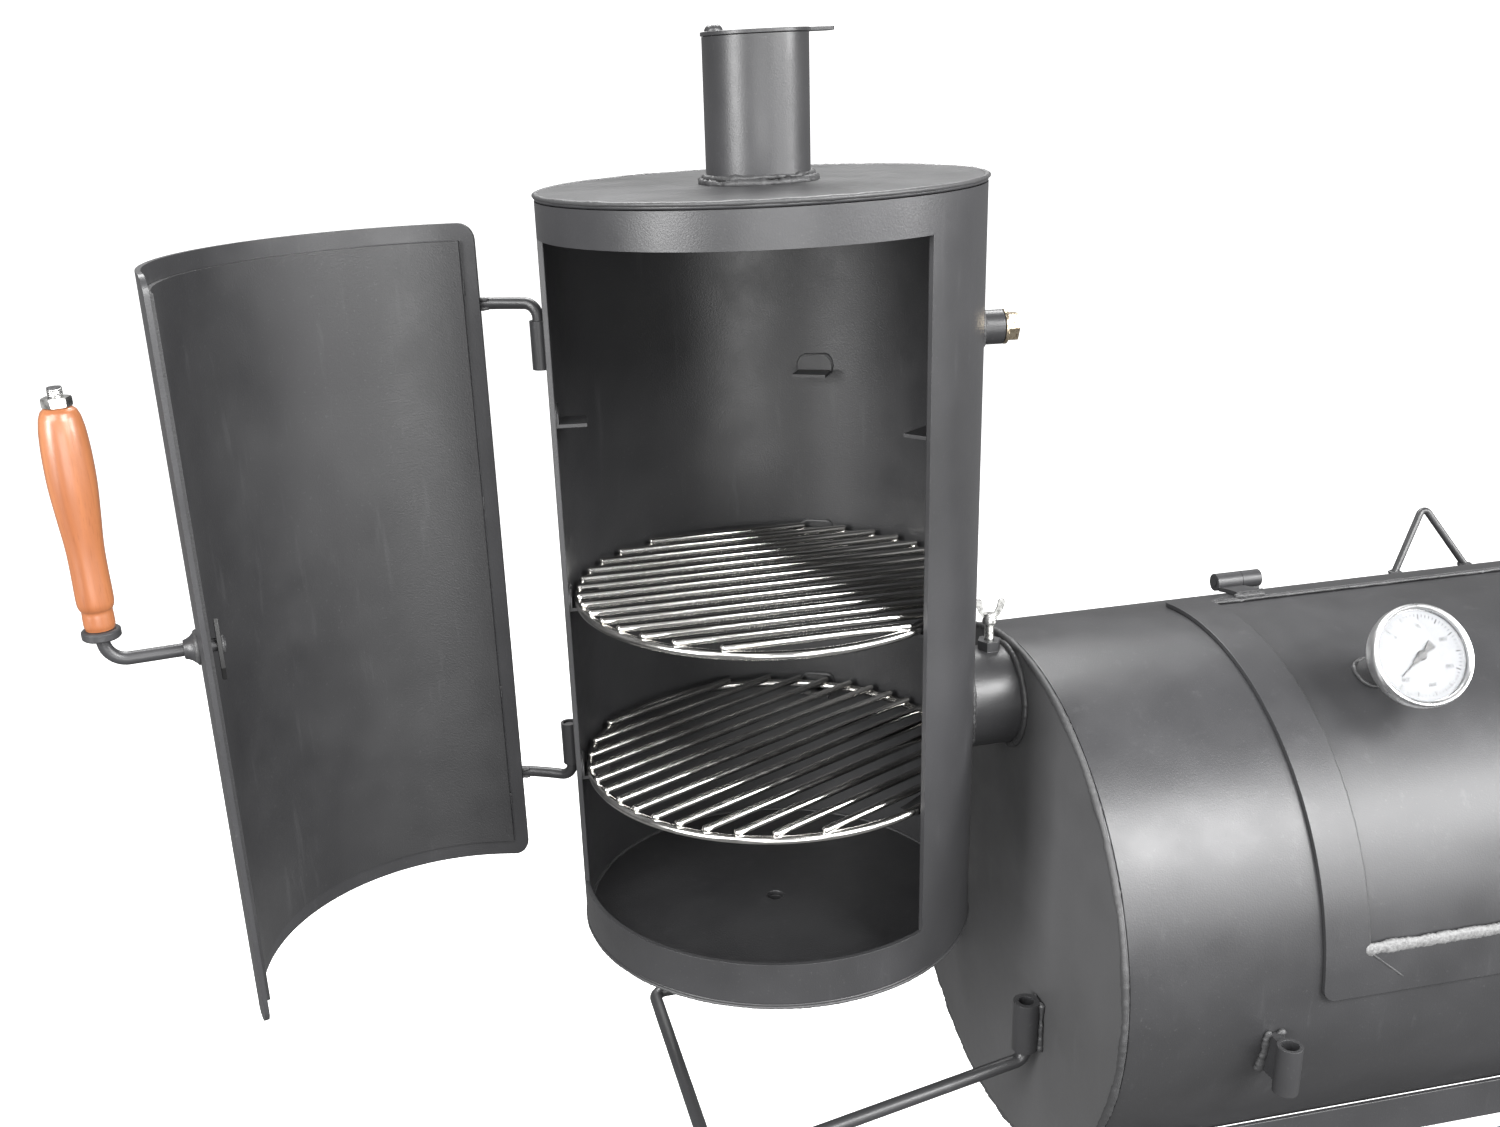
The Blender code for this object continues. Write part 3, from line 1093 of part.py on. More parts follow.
# ------------------------------------------------------------------ stand with wheels
def build_stand(root):
    """Two angle rails, four legs, cross members and axle posts welded into one frame."""
    wall = 0.004
    out = RAIL_Y + wall
    low = RAIL_TOP - RAIL_SIZE
    lengthwise = Matrix(((0.0, 0.0, 1.0, 0.0), (1.0, 0.0, 0.0, 0.0),
                         (0.0, 1.0, 0.0, 0.0), (0.0, 0.0, 0.0, 1.0)))
    rails = []
    for name, sign in (("stand_frame", -1.0), ("frame_rail_rear", 1.0)):
        outline = [(sign * RAIL_Y, RAIL_TOP), (sign * out, RAIL_TOP), (sign * out, low),
                   (sign * (out - RAIL_SIZE), low), (sign * (out - RAIL_SIZE), low + wall),
                   (sign * RAIL_Y, low + wall)]
        bm = bmesh.new()
        prism(bm, outline, RAIL_X0, RAIL_X1, lengthwise)
        rails.append(add_piece(name, bm, STEEL, root, smooth=0, cutter=sign > 0.0))
    frame = rails[0]
    combine(frame, rails[1], "UNION")

    bm = bmesh.new()
    for sign in (-1.0, 1.0):
        edge = sorted((sign * (out - 0.0015), sign * (out - LEG_DEPTH)))
        block(bm, (RAIL_X0 + 0.001, edge[0], 0.010),
              (RAIL_X0 + LEG_SIZE - 0.001, edge[1], low + 0.002))
        block(bm, (RAIL_X1 - LEG_SIZE + 0.001, edge[0], SHELF_Z - 0.040),
              (RAIL_X1 - 0.001, edge[1], low + 0.002))
    combine(frame, add_piece("frame_legs", bm, STEEL, root, cutter=True), "UNION")
    # cross members below the barrel join both sides
    bm = bmesh.new()
    for x in (RAIL_X0, RAIL_X1 - LEG_SIZE):
        block(bm, (x + 0.002, -out + 0.004, CROSS_Z - 0.030),
              (x + LEG_SIZE - 0.002, out - 0.004, CROSS_Z))
    combine(frame, add_piece("frame_cross", bm, STEEL, root, cutter=True), "UNION")
    bm = bmesh.new()
    for sign in (-1.0, 1.0):
        edge = sorted((sign * (out - 0.003), sign * (out - 0.038)))
        block(bm, (RAIL_X0 + 0.020, edge[0], SHELF_Z - 0.036),
              (WHEEL_X + 0.030, edge[1], SHELF_Z - GAP))
    combine(frame, add_piece("frame_low_rails", bm, STEEL, root, cutter=True), "UNION")
    bm = bmesh.new()
    for sign in (-1.0, 1.0):
        edge = sorted((sign * (out - 0.005), sign * (out - 0.036)))
        block(bm, (WHEEL_X - 0.022, edge[0], WHEEL_R - 0.030),
              (WHEEL_X + 0.022, edge[1], SHELF_Z - 0.010))
        block(bm, (RAIL_X0 - 0.006, min(sign * (out + 0.006), sign * (out - LEG_SIZE - 0.006)), 0.0),
              (RAIL_X0 + LEG_SIZE + 0.006,
               max(sign * (out + 0.006), sign * (out - LEG_SIZE - 0.006)), 0.012))
    combine(frame, add_piece("frame_feet", bm, STEEL, root, cutter=True), "UNION")
    low_cross_top = SHELF_Z - 0.003
    bm = bmesh.new()
    for x in (RAIL_X0 + 0.012, WHEEL_X - 0.016):
        block(bm, (x, -out + 0.008, SHELF_Z - 0.034), (x + 0.028, out - 0.008, low_cross_top))
    combine(frame, add_piece("frame_low_cross", bm, STEEL, root, cutter=True), "UNION")
    axle_line = frame_along((WHEEL_X, 0.0, WHEEL_R), (0, 1, 0))
    bm = bmesh.new()
    disc(bm, AXLE_R + GAP, -0.25, 0.25, 20, axle_line)
    combine(frame, add_piece("cut_axle", bm, STEEL, root, cutter=True), "DIFFERENCE")

    bm = bmesh.new()
    block(bm, (RAIL_X0 + LEG_SIZE + 0.004, -out + 0.006, SHELF_Z),
          (RAIL_X1 - LEG_SIZE - 0.004, out - 0.006, SHELF_Z + 0.003))
    add_piece("bottom_shelf", bm, STEEL, root, smooth=0)

    # a saddle plate carries the firebox on the low cross member
    bm = bmesh.new()
    block(bm, (WHEEL_X - 0.020, -0.100, low_cross_top + GAP),
          (WHEEL_X + 0.020, 0.100, SHELF_Z + 0.250))
    saddle = add_piece("firebox_saddle", bm, STEEL, root, smooth=0)
    bm = bmesh.new()
    disc(bm, CHAMBER_R + GAP, WHEEL_X - 0.1, WHEEL_X + 0.1, CHAMBER_STEPS,
         frame_along((0, 0, FIREBOX_Z), (1, 0, 0)))
    combine(saddle, add_piece("cut_saddle", bm, STEEL, root, cutter=True), "DIFFERENCE")


def build_wheels(root):
    """Axle with end caps and inner collars, and two spoked steel wheels turning on it."""
    end = WHEEL_Y + 0.030
    collar = WHEEL_Y - 0.030
    half = []
    for height, radius in ((collar, AXLE_R), (collar, AXLE_COLLAR_R), (collar + 0.006, AXLE_COLLAR_R),
                           (collar + 0.006, AXLE_R), (end - 0.006, AXLE_R),
                           (end - 0.006, AXLE_COLLAR_R), (end, AXLE_COLLAR_R)):
        half.append((radius, height))
    other = [(radius, -height) for radius, height in reversed(half)]
    bm = bmesh.new()
    revolve(bm, [(0.0, -end)] + other + half + [(0.0, end)], 20,
            frame_along((WHEEL_X, 0.0, WHEEL_R), (0, 1, 0)))
    add_piece("axle", bm, STEEL, root, origin=(WHEEL_X, 0.0, WHEEL_R))
    for name, sign in (("wheel_front", -1.0), ("wheel_rear", 1.0)):
        place = frame_along((WHEEL_X, sign * WHEEL_Y, WHEEL_R), (0, 1, 0))
        origin = (WHEEL_X, sign * WHEEL_Y, WHEEL_R)
        bm = bmesh.new()
        ring(bm, WHEEL_R - 0.010, WHEEL_R, -0.025, 0.025, 36, place)
        wheel = add_piece(name, bm, TYRE, root, origin=origin)
        for k in range(WHEEL_SPOKES):
            a = 360.0 * k / WHEEL_SPOKES
            bm = bmesh.new()
            round_rod(bm, [place @ polar(0.010, a), place @ polar(WHEEL_R - 0.006, a)], 0.007, 6)
            spoke = add_piece("%s_spoke_%d" % (name, k), bm, TYRE, root, origin=origin, cutter=True)
            combine(wheel, spoke, "UNION")
        bm = bmesh.new()
        disc(bm, 0.026, -0.022, 0.022, 20, place)
        hub = add_piece(name + "_hub", bm, TYRE, root, origin=origin, cutter=True)
        combine(wheel, hub, "UNION")
        bm = bmesh.new()
        disc(bm, AXLE_R + GAP, -0.06, 0.06, 20, place)
        bore = add_piece("cut_" + name, bm, TYRE, root, origin=origin, cutter=True)
        combine(wheel, bore, "DIFFERENCE")


def main():
    clear_scene()
    root = axis_empty("smoker", (0.0, 0.0, 0.0))
    root.location = (OFFSET_X, 0.0, 0.0)
    build_tower(root)
    build_chimney(root)
    build_door(root)
    build_connection(root)
    smoke_hole = build_chamber(root)
    build_lid(root)
    build_sockets(root)
    build_firebox(root, smoke_hole)
    build_stand(root)
    build_wheels(root)


main()
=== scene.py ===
"""Looks of the offset smoker: fine pieces, welds, finishes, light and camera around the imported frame."""

import math

import bmesh
import bpy
from mathutils import Matrix, Vector, noise


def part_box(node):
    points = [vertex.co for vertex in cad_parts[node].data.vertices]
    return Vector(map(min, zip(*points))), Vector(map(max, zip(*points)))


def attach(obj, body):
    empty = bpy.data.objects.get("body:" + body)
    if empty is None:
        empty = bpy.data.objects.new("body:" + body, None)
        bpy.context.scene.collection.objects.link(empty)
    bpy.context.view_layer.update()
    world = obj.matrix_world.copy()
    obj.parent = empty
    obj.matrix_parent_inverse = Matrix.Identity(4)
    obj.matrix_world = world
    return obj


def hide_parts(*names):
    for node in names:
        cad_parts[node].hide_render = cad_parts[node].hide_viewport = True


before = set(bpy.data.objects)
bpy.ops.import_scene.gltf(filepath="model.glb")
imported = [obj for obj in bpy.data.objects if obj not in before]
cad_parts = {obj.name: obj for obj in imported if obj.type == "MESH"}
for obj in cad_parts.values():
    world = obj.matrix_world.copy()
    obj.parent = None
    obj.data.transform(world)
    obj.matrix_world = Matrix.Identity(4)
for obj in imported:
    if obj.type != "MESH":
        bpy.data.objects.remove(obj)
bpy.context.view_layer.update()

# ------------------------------------------------------------------ driving dimensions, metres
GAP = 0.0004                 # space between touching pieces, as in the solids
WELD_RADIUS = 0.0030

TOP_LOW, TOP_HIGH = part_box("tower_top_plate")
FLOOR_LOW, FLOOR_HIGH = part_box("tower_floor_plate")
TOWER_X = (TOP_LOW.x + TOP_HIGH.x) / 2.0
TOWER_R = (TOP_HIGH.y - TOP_LOW.y) / 2.0
TOWER_TOP = TOP_HIGH.z
TOWER_BOTTOM = FLOOR_LOW.z
TOWER_WALL = 0.004
TOWER_IN = TOWER_R - TOWER_WALL
PLATE = 0.005
OPENING = (-183.0, -60.5, 0.961, 1.5346)      # hinge angle, free angle, bottom, top
LUG_LEVELS = (1.386, 1.226, 1.066)
LUG_ANGLES = (59.0, -53.0, 171.0)
GRATE_R = 0.165
GRATE_BAR_R = 0.0034
GRATE_RING_R = 0.0040

DOOR_TURN = -104.3
KERF = 0.0015
STRIP = 0.004
STRIP_WIDTH = 0.040
DOOR_LAP = 0.011
DOOR_STRIPS = (0.956, 1.544)          # bottom, top
DOOR_PANEL = (0.972, 1.530)
HINGE_RADIUS = 0.1880
HINGE_ANGLE = 158.4
ROD_R = 0.005
SPINDLE_ANGLE = -68.0
SPINDLE_Z = 1.270
HANDLE_REACH = 0.069
GRIP_START = 0.026
GRIP_LENGTH = 0.162

PORT_ANGLE = -8.0
PORT_Z = 1.443
CHIMNEY_R = 0.0412
CHIMNEY_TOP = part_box("chimney_pipe")[1].z
DAMPER_PIVOT = -0.0325
STUB_R = 0.046
STUB_Z = 1.1016
BOLT_X = 0.206

CHAMBER_R = 0.254
CHAMBER_IN = 0.249
CHAMBER_Z = 0.900
CHAMBER_X0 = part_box("chamber_end_left")[0].x - TOWER_X
CHAMBER_X1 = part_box("chamber_end_right")[1].x - TOWER_X
LID_X0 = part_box("lid_frame_strips")[0].x - TOWER_X
LID_X1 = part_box("lid_frame_strips")[1].x - TOWER_X
LID_MIDDLE = (LID_X0 + LID_X1) / 2.0
LID_LOW, LID_HIGH = 0.2, 100.6
LID_LAP = 0.015
LID_HINGE_RADIUS = 0.2675
LID_HINGE_ANGLE = 105.0
LID_TOP_STRIP = 0.0215
LID_HINGE_INSET = 0.068
STOP_FOOT_Y = 0.120
THERMO_X = 0.516
THERMO_ANGLE = 63.6
THERMO_RISE, THERMO_TURN = 32.3, 4.3

FIREBOX_Z = 0.640
FIREBOX_X0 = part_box("firebox_inner_end")[0].x - TOWER_X
SMOKE_HOLE_R = 0.100
SMOKE_HOLE_Z = 0.770
WHEEL_LOW, WHEEL_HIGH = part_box("wheel_front")
WHEEL_R = (WHEEL_HIGH.z - WHEEL_LOW.z) / 2.0
WHEEL_X = (WHEEL_LOW.x + WHEEL_HIGH.x) / 2.0 - TOWER_X
WHEEL_Y = -(WHEEL_LOW.y + WHEEL_HIGH.y) / 2.0

ROUND = 144                  # facets round a big pipe
SMALL = 32                   # facets round a rod or a small fitting


def polar(radius, degrees, z=0.0):
    a = math.radians(degrees)
    return Vector((radius * math.cos(a), radius * math.sin(a), z))


# Pieces are built with the tower's axis at x = 0; HOME puts them in the frame.
HOME = Matrix.Translation((TOWER_X, 0.0, 0.0))
HINGE = polar(HINGE_RADIUS, HINGE_ANGLE)
DOOR = (HOME @ Matrix.Translation(HINGE) @ Matrix.Rotation(math.radians(DOOR_TURN), 4, "Z")
        @ Matrix.Translation(-HINGE))


def along(point, direction, up=(0.0, 0.0, 1.0)):
    """Matrix whose local Z runs along a direction, placed at a point."""
    z = Vector(direction).normalized()
    side = Vector(up).cross(z)
    if side.length < 1e-6:
        side = Vector((1.0, 0.0, 0.0))
    x = side.normalized()
    y = z.cross(x)
    return Matrix(((x.x, y.x, z.x, point[0]), (x.y, y.y, z.y, point[1]),
                   (x.z, y.z, z.z, point[2]), (0.0, 0.0, 0.0, 1.0)))


# chamber frame: local Z runs along the chamber, local angle 0 faces the front, 90 the top
CHAMBER = Matrix(((0.0, 0.0, 1.0, 0.0), (-1.0, 0.0, 0.0, 0.0),
                  (0.0, 1.0, 0.0, CHAMBER_Z), (0.0, 0.0, 0.0, 1.0)))


# ------------------------------------------------------------------ materials
class Finish:
    """A Principled material and short ways to add nodes to it."""

    def __init__(self, name, metallic=0.0, roughness=0.5):
        self.material = bpy.data.materials.new(name)
        self.material.use_nodes = True
        self.tree = self.material.node_tree
        self.shader = self.tree.nodes["Principled BSDF"]
        self.shader.inputs["Metallic"].default_value = metallic
        self.shader.inputs["Roughness"].default_value = roughness
        self.place = self.tree.nodes.new("ShaderNodeTexCoord").outputs["Object"]

    def set(self, name, value):
        self.shader.inputs[name].default_value = value

    def mapped(self, scale):
        node = self.tree.nodes.new("ShaderNodeMapping")
        node.inputs["Scale"].default_value = scale
        self.tree.links.new(self.place, node.inputs["Vector"])
        return node.outputs["Vector"]

    def noise(self, scale, detail=4.0, roughness=0.55, stretch=None, distortion=0.0):
        node = self.tree.nodes.new("ShaderNodeTexNoise")
        node.inputs["Scale"].default_value = scale
        node.inputs["Detail"].default_value = detail
        node.inputs["Roughness"].default_value = roughness
        node.inputs["Distortion"].default_value = distortion
        self.tree.links.new(self.mapped(stretch) if stretch else self.place, node.inputs["Vector"])
        return node.outputs["Fac"]

    def ramp(self, source, stops):
        node = self.tree.nodes.new("ShaderNodeValToRGB")
        ramp = node.color_ramp
        while len(ramp.elements) < len(stops):
            ramp.elements.new(0.5)
        for element, (place, colour) in zip(ramp.elements, stops):
            element.position = place
            if not isinstance(colour, tuple):
                colour = (colour, colour, colour)
            element.color = (*colour, 1.0)
        self.tree.links.new(source, node.inputs["Fac"])
        return node.outputs["Color"]

    def mix(self, factor, first, second, kind="MIX"):
        node = self.tree.nodes.new("ShaderNodeMix")
        node.data_type = "RGBA"
        node.blend_type = kind
        for socket, value in ((node.inputs[0], factor), (node.inputs[6], first),
                              (node.inputs[7], second)):
            if isinstance(value, (int, float)):
                socket.default_value = value
            elif isinstance(value, tuple):
                socket.default_value = (*value, 1.0)
            else:
                self.tree.links.new(value, socket)
        return node.outputs[2]

    def colour(self, source):
        self.tree.links.new(source, self.shader.inputs["Base Color"])

    def rough(self, source):
        self.tree.links.new(source, self.shader.inputs["Roughness"])

    def bump(self, layers):
        """Stack bumps given as (height output, strength, distance)."""
        normal = None
        for height, strength, distance in layers:
            node = self.tree.nodes.new("ShaderNodeBump")
            node.inputs["Strength"].default_value = strength
            node.inputs["Distance"].default_value = distance
            self.tree.links.new(height, node.inputs["Height"])
            if normal is not None:
                self.tree.links.new(normal, node.inputs["Normal"])
            normal = node.outputs["Normal"]
        self.tree.links.new(normal, self.shader.inputs["Normal"])


def paint(name, dark, light, rough_low, rough_high, grain=0.30, metallic=0.0, streak=(1, 1, 0.12)):
    """Satin heat-resistant paint: cloudy tone, fine orange peel, faint rubbed streaks and dust."""
    made = Finish(name, metallic)
    clouds = made.noise(5.5, 3.0, 0.5)
    tone = made.ramp(clouds, ((0.30, dark), (0.72, light)))
    streaks = made.noise(70.0, 5.0, 0.65, stretch=streak)
    rubbed = made.ramp(streaks, ((0.60, 0.0), (0.78, 0.10)))
    tone = made.mix(rubbed, tone, (0.16, 0.16, 0.165))
    specks = made.noise(420.0, 2.0, 0.5)
    dust = made.ramp(specks, ((0.66, 0.0), (0.74, 0.07)))
    tone = made.mix(dust, tone, (0.20, 0.20, 0.20))
    made.colour(tone)
    patches = made.noise(22.0, 4.0, 0.6)
    made.rough(made.ramp(patches, ((0.30, rough_low), (0.70, rough_high))))
    peel = made.noise(700.0, 2.0, 0.5)
    fine = made.noise(2200.0, 1.0, 0.5)
    rolled = made.noise(16.0, 2.0, 0.5)
    made.bump(((rolled, 0.10, 0.002), (peel, grain, 0.00035), (fine, grain * 0.6, 0.0001)))
    return made


def build_finishes():
    made = {}
    made["paint"] = paint("satin_paint", (0.022, 0.022, 0.023), (0.032, 0.032, 0.034), 0.33, 0.43)
    # inside paint: the same satin paint made darker as painted shade for hollows and inner faces, and also
    # rougher with a coarser peel
    made["inside"] = paint("satin_paint_inside_painted_shade", (0.017, 0.017, 0.018), (0.027, 0.027, 0.028),
                           0.36, 0.48, grain=0.55)
    made["tongue"] = paint("satin_paint_tongue", (0.006, 0.006, 0.006), (0.012, 0.012, 0.012),
                           0.46, 0.60)
    # end paint: lighter than the satin paint as painted light on the chamber's left end cap, which faces
    # the light from the left; also rougher
    made["end"] = paint("satin_paint_end_painted_light", (0.055, 0.055, 0.056), (0.072, 0.072, 0.074), 0.46, 0.58)
    made["weld"] = paint("painted_weld", (0.026, 0.026, 0.027), (0.042, 0.042, 0.043),
                         0.42, 0.56, grain=0.9)

    bare = Finish("bright_weld", 0.2)
    lumps = bare.noise(380.0, 4.0, 0.6)
    bare.colour(bare.ramp(lumps, ((0.34, (0.10, 0.10, 0.10)), (0.68, (0.19, 0.19, 0.19)))))
    bare.rough(bare.ramp(lumps, ((0.3, 0.50), (0.7, 0.68))))
    bare.bump(((lumps, 0.9, 0.0007), (bare.noise(1500.0, 2.0), 0.5, 0.0002)))
    made["bright_weld"] = bare

    made["worn_weld"] = paint("worn_weld", (0.030, 0.030, 0.031), (0.060, 0.060, 0.061), 0.50, 0.66,
                              grain=0.9)

    rod = Finish("stainless_rod", 1.0)
    drawn = rod.noise(240.0, 4.0, 0.6, stretch=(0.05, 1.0, 1.0))
    smoke = rod.noise(30.0, 3.0, 0.6)
    rod.colour(rod.mix(rod.ramp(smoke, ((0.35, 0.0), (0.75, 0.35))),
                       rod.ramp(drawn, ((0.3, (0.56, 0.555, 0.54)), (0.7, (0.74, 0.73, 0.71)))),
                       (0.50, 0.47, 0.42)))
    rod.rough(rod.ramp(drawn, ((0.25, 0.14), (0.75, 0.26))))
    rod.bump(((drawn, 0.12, 0.0001),))
    made["stainless"] = rod

    zinc = Finish("zinc_plated", 1.0)
    spangle = zinc.noise(160.0, 3.0, 0.6)
    zinc.colour(zinc.ramp(spangle, ((0.3, (0.50, 0.50, 0.48)), (0.7, (0.78, 0.78, 0.76)))))
    zinc.rough(zinc.ramp(spangle, ((0.3, 0.20), (0.7, 0.36))))
    zinc.bump(((zinc.noise(900.0, 2.0), 0.15, 0.0001),))
    made["zinc"] = zinc

    chrome = Finish("chromed_bezel", 1.0)
    wipe = chrome.noise(60.0, 3.0, 0.6)
    chrome.colour(chrome.ramp(wipe, ((0.3, (0.72, 0.73, 0.73)), (0.7, (0.84, 0.84, 0.84)))))
    chrome.rough(chrome.ramp(wipe, ((0.3, 0.26), (0.7, 0.36))))
    made["chrome"] = chrome

    nickel = Finish("nickel_brass", 1.0)
    turned = nickel.noise(300.0, 3.0, 0.6)
    nickel.colour(nickel.ramp(turned, ((0.3, (0.46, 0.37, 0.25)), (0.7, (0.70, 0.61, 0.47)))))
    nickel.rough(nickel.ramp(turned, ((0.3, 0.22), (0.7, 0.38))))
    nickel.bump(((turned, 0.2, 0.0001),))
    made["nickel"] = nickel

    for name, stretch in (("wood_upright", (1.0, 1.0, 0.07)),
                          ("wood_lengthwise", (0.07, 1.0, 1.0))):
        made[name] = wood(name, stretch)

    face = Finish("dial_paper", 0.0, 0.5)
    paper = face.noise(300.0, 3.0, 0.6)
    face.colour(face.ramp(paper, ((0.2, (0.195, 0.200, 0.210)), (0.8, (0.220, 0.226, 0.236)))))
    face.bump(((paper, 0.05, 0.00005),))
    made["dial"] = face

    ink = Finish("dial_ink", 0.0, 0.45)
    ink.colour(ink.ramp(ink.noise(500.0), ((0.3, (0.03, 0.03, 0.03)), (0.8, (0.08, 0.08, 0.08)))))
    made["ink"] = ink

    lens = Finish("dial_glass", 0.0, 0.04)
    lens.set("Alpha", 0.06)
    lens.set("Specular IOR Level", 0.25)
    lens.set("IOR", 1.5)
    lens.colour(lens.ramp(lens.noise(40.0), ((0.2, (0.02, 0.02, 0.02)), (0.8, (0.03, 0.03, 0.03)))))
    made["glass"] = lens

    floor = Finish("studio_floor", 0.0, 0.8)
    floor.colour(floor.ramp(floor.noise(0.4), ((0.2, (0.88, 0.88, 0.88)), (0.8, (0.92, 0.92, 0.92)))))
    floor.set("Emission Color", (1.0, 1.0, 1.0, 1.0))
    floor.set("Emission Strength", 0.75)
    made["floor"] = floor
    return made


def wood(name, stretch):
    """Varnished turned wood: long fibres, soft growth rings and pores."""
    made = Finish(name, 0.0)
    fibres = made.noise(90.0, 6.0, 0.65, stretch=stretch, distortion=0.6)
    rings = made.noise(26.0, 3.0, 0.5, stretch=stretch, distortion=1.4)
    tone = made.ramp(rings, ((0.28, (0.155, 0.048, 0.016)), (0.50, (0.25, 0.088, 0.033)),
                             (0.74, (0.34, 0.135, 0.056))))
    line = made.ramp(fibres, ((0.34, 0.32), (0.52, 0.0)))
    tone = made.mix(line, tone, (0.17, 0.052, 0.018))
    pores = made.noise(900.0, 2.0, 0.5, stretch=stretch)
    tone = made.mix(made.ramp(pores, ((0.30, 0.28), (0.42, 0.0))), tone, (0.12, 0.035, 0.012))
    made.colour(tone)
    made.rough(made.ramp(fibres, ((0.3, 0.46), (0.7, 0.30))))
    made.set("Coat Weight", 0.35)
    made.set("Coat Roughness", 0.22)
    made.bump(((fibres, 0.20, 0.0003), (pores, 0.25, 0.0002)))
    return made


FINISH = build_finishes()


# ------------------------------------------------------------------ making a piece
def new_object(name, bm, finish):
    bmesh.ops.remove_doubles(bm, verts=bm.verts[:], dist=0.000004)
    bmesh.ops.recalc_face_normals(bm, faces=bm.faces[:])
    mesh = bpy.data.meshes.new(name)
    bm.to_mesh(mesh)
    bm.free()
    mesh.materials.append(FINISH[finish].material)
    obj = bpy.data.objects.new(name, mesh)
    bpy.context.scene.collection.objects.link(obj)
    return obj


def shape_with(obj, tools, place):
    """Run (bmesh, operation) tools on an object through Boolean modifiers and keep the result."""
    helpers = []
    for count, (bm, operation) in enumerate(tools):
        bm.transform(place)
        helper = new_object("%s_tool_%d" % (obj.name, count), bm, "paint")
        step = obj.modifiers.new(helper.name, "BOOLEAN")
        step.operation = operation
        step.solver = "EXACT"
        step.object = helper
        helpers.append(helper)
    view = bpy.context.evaluated_depsgraph_get()
    result = bpy.data.meshes.new_from_object(obj.evaluated_get(view))
    obj.modifiers.clear()
    obj.data = result
    for helper in helpers:
        bpy.data.objects.remove(helper, do_unlink=True)


def piece(name, bm, finish, body, nodes=(), place=HOME, edge=0.0006, smooth=32.0, tools=()):
    """Finish a bmesh as a shown piece riding on a body, in place of the named CAD nodes."""
    bm.transform(place)
    obj = new_object(name, bm, finish)
    if tools:
        shape_with(obj, tools, place)
    obj.data.shade_smooth()
    obj.data.set_sharp_from_angle(angle=math.radians(smooth))
    if edge:
        rounding = obj.modifiers.new("edge", "BEVEL")
        rounding.width = edge
        rounding.segments = 2
        rounding.limit_method = "ANGLE"
        rounding.angle_limit = math.radians(smooth)
        rounding.harden_normals = True
    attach(obj, body)
    if nodes:
        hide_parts(*nodes)
    return obj


# ------------------------------------------------------------------ shape helpers
def revolve(bm, profile, steps, place=Matrix.Identity(4), start=0.0, sweep=360.0):
    """Turn a closed (radius, height) outline about local Z; radius 0 points become one pole."""
    full = abs(sweep - 360.0) < 1e-9
    count = steps if full else steps + 1
    poles = {}
    columns = []
    for i in range(count):
        a = math.radians(start + sweep * i / steps)
        column = []
        for j, (radius, height) in enumerate(profile):
            if radius == 0.0:
                if j not in poles:
                    poles[j] = bm.verts.new(place @ Vector((0.0, 0.0, height)))
                column.append(poles[j])
            else:
                spot = Vector((radius * math.cos(a), radius * math.sin(a), height))
                column.append(bm.verts.new(place @ spot))
        columns.append(column)
    rows = len(profile)
    for i in range(steps):
        here = columns[i]
        after = columns[(i + 1) % count]
        for j in range(rows):
            k = (j + 1) % rows
            corners = []
            for v in (here[j], after[j], after[k], here[k]):
                if v not in corners:
                    corners.append(v)
            if len(corners) > 2:
                bm.faces.new(corners)
    if not full:
        bm.faces.new(columns[0])
        bm.faces.new(columns[-1])


def turned(profile, steps=SMALL, place=Matrix.Identity(4)):
    bm = bmesh.new()
    revolve(bm, profile, steps, place)
    return bm


def ring(r_in, r_out, z0, z1, steps, place=Matrix.Identity(4), start=0.0, sweep=360.0):
    bm = bmesh.new()
    revolve(bm, [(r_in, z0), (r_out, z0), (r_out, z1), (r_in, z1)], steps, place, start, sweep)
    return bm


def disc(radius, z0, z1, steps=SMALL, place=Matrix.Identity(4)):
    return turned([(0.0, z0), (radius, z0), (radius, z1), (0.0, z1)], steps, place)


def prism(bm, outline, z0, z1, place=Matrix.Identity(4)):
    low = [bm.verts.new(place @ Vector((x, y, z0))) for x, y in outline]
    high = [bm.verts.new(place @ Vector((x, y, z1))) for x, y in outline]
    bm.faces.new(low)
    bm.faces.new(high)
    for i in range(len(outline)):
        k = (i + 1) % len(outline)
        bm.faces.new((low[i], low[k], high[k], high[i]))


def block(bm, low, high, place=Matrix.Identity(4)):
    outline = [(low[0], low[1]), (high[0], low[1]), (high[0], high[1]), (low[0], high[1])]
    prism(bm, outline, low[2], high[2], place)


def extruded(outline, z0, z1, place=Matrix.Identity(4)):
    bm = bmesh.new()
    prism(bm, outline, z0, z1, place)
    return bm


def hexagon(radius):
    return [tuple(polar(radius, 60.0 * k).xy) for k in range(6)]


def rounded(corners, bend, steps=8):
    """Points of a bar through the given corners with every inner corner rounded."""
    points = [Vector(corners[0])]
    for before, corner, after in zip(corners, corners[1:], corners[2:]):
        corner = Vector(corner)
        u = (Vector(before) - corner).normalized()
        v = (Vector(after) - corner).normalized()
        half = u.angle(v) / 2.0
        reach = bend / math.tan(half)
        centre = corner + (u + v).normalized() * (bend / math.sin(half))
        first = corner + u * reach - centre
        final = corner + v * reach - centre
        turn = first.angle(final)
        for k in range(steps + 1):
            f = k / steps
            blend = first * math.sin((1.0 - f) * turn) + final * math.sin(f * turn)
            points.append(centre + blend / math.sin(turn))
    points.append(Vector(corners[-1]))
    return points


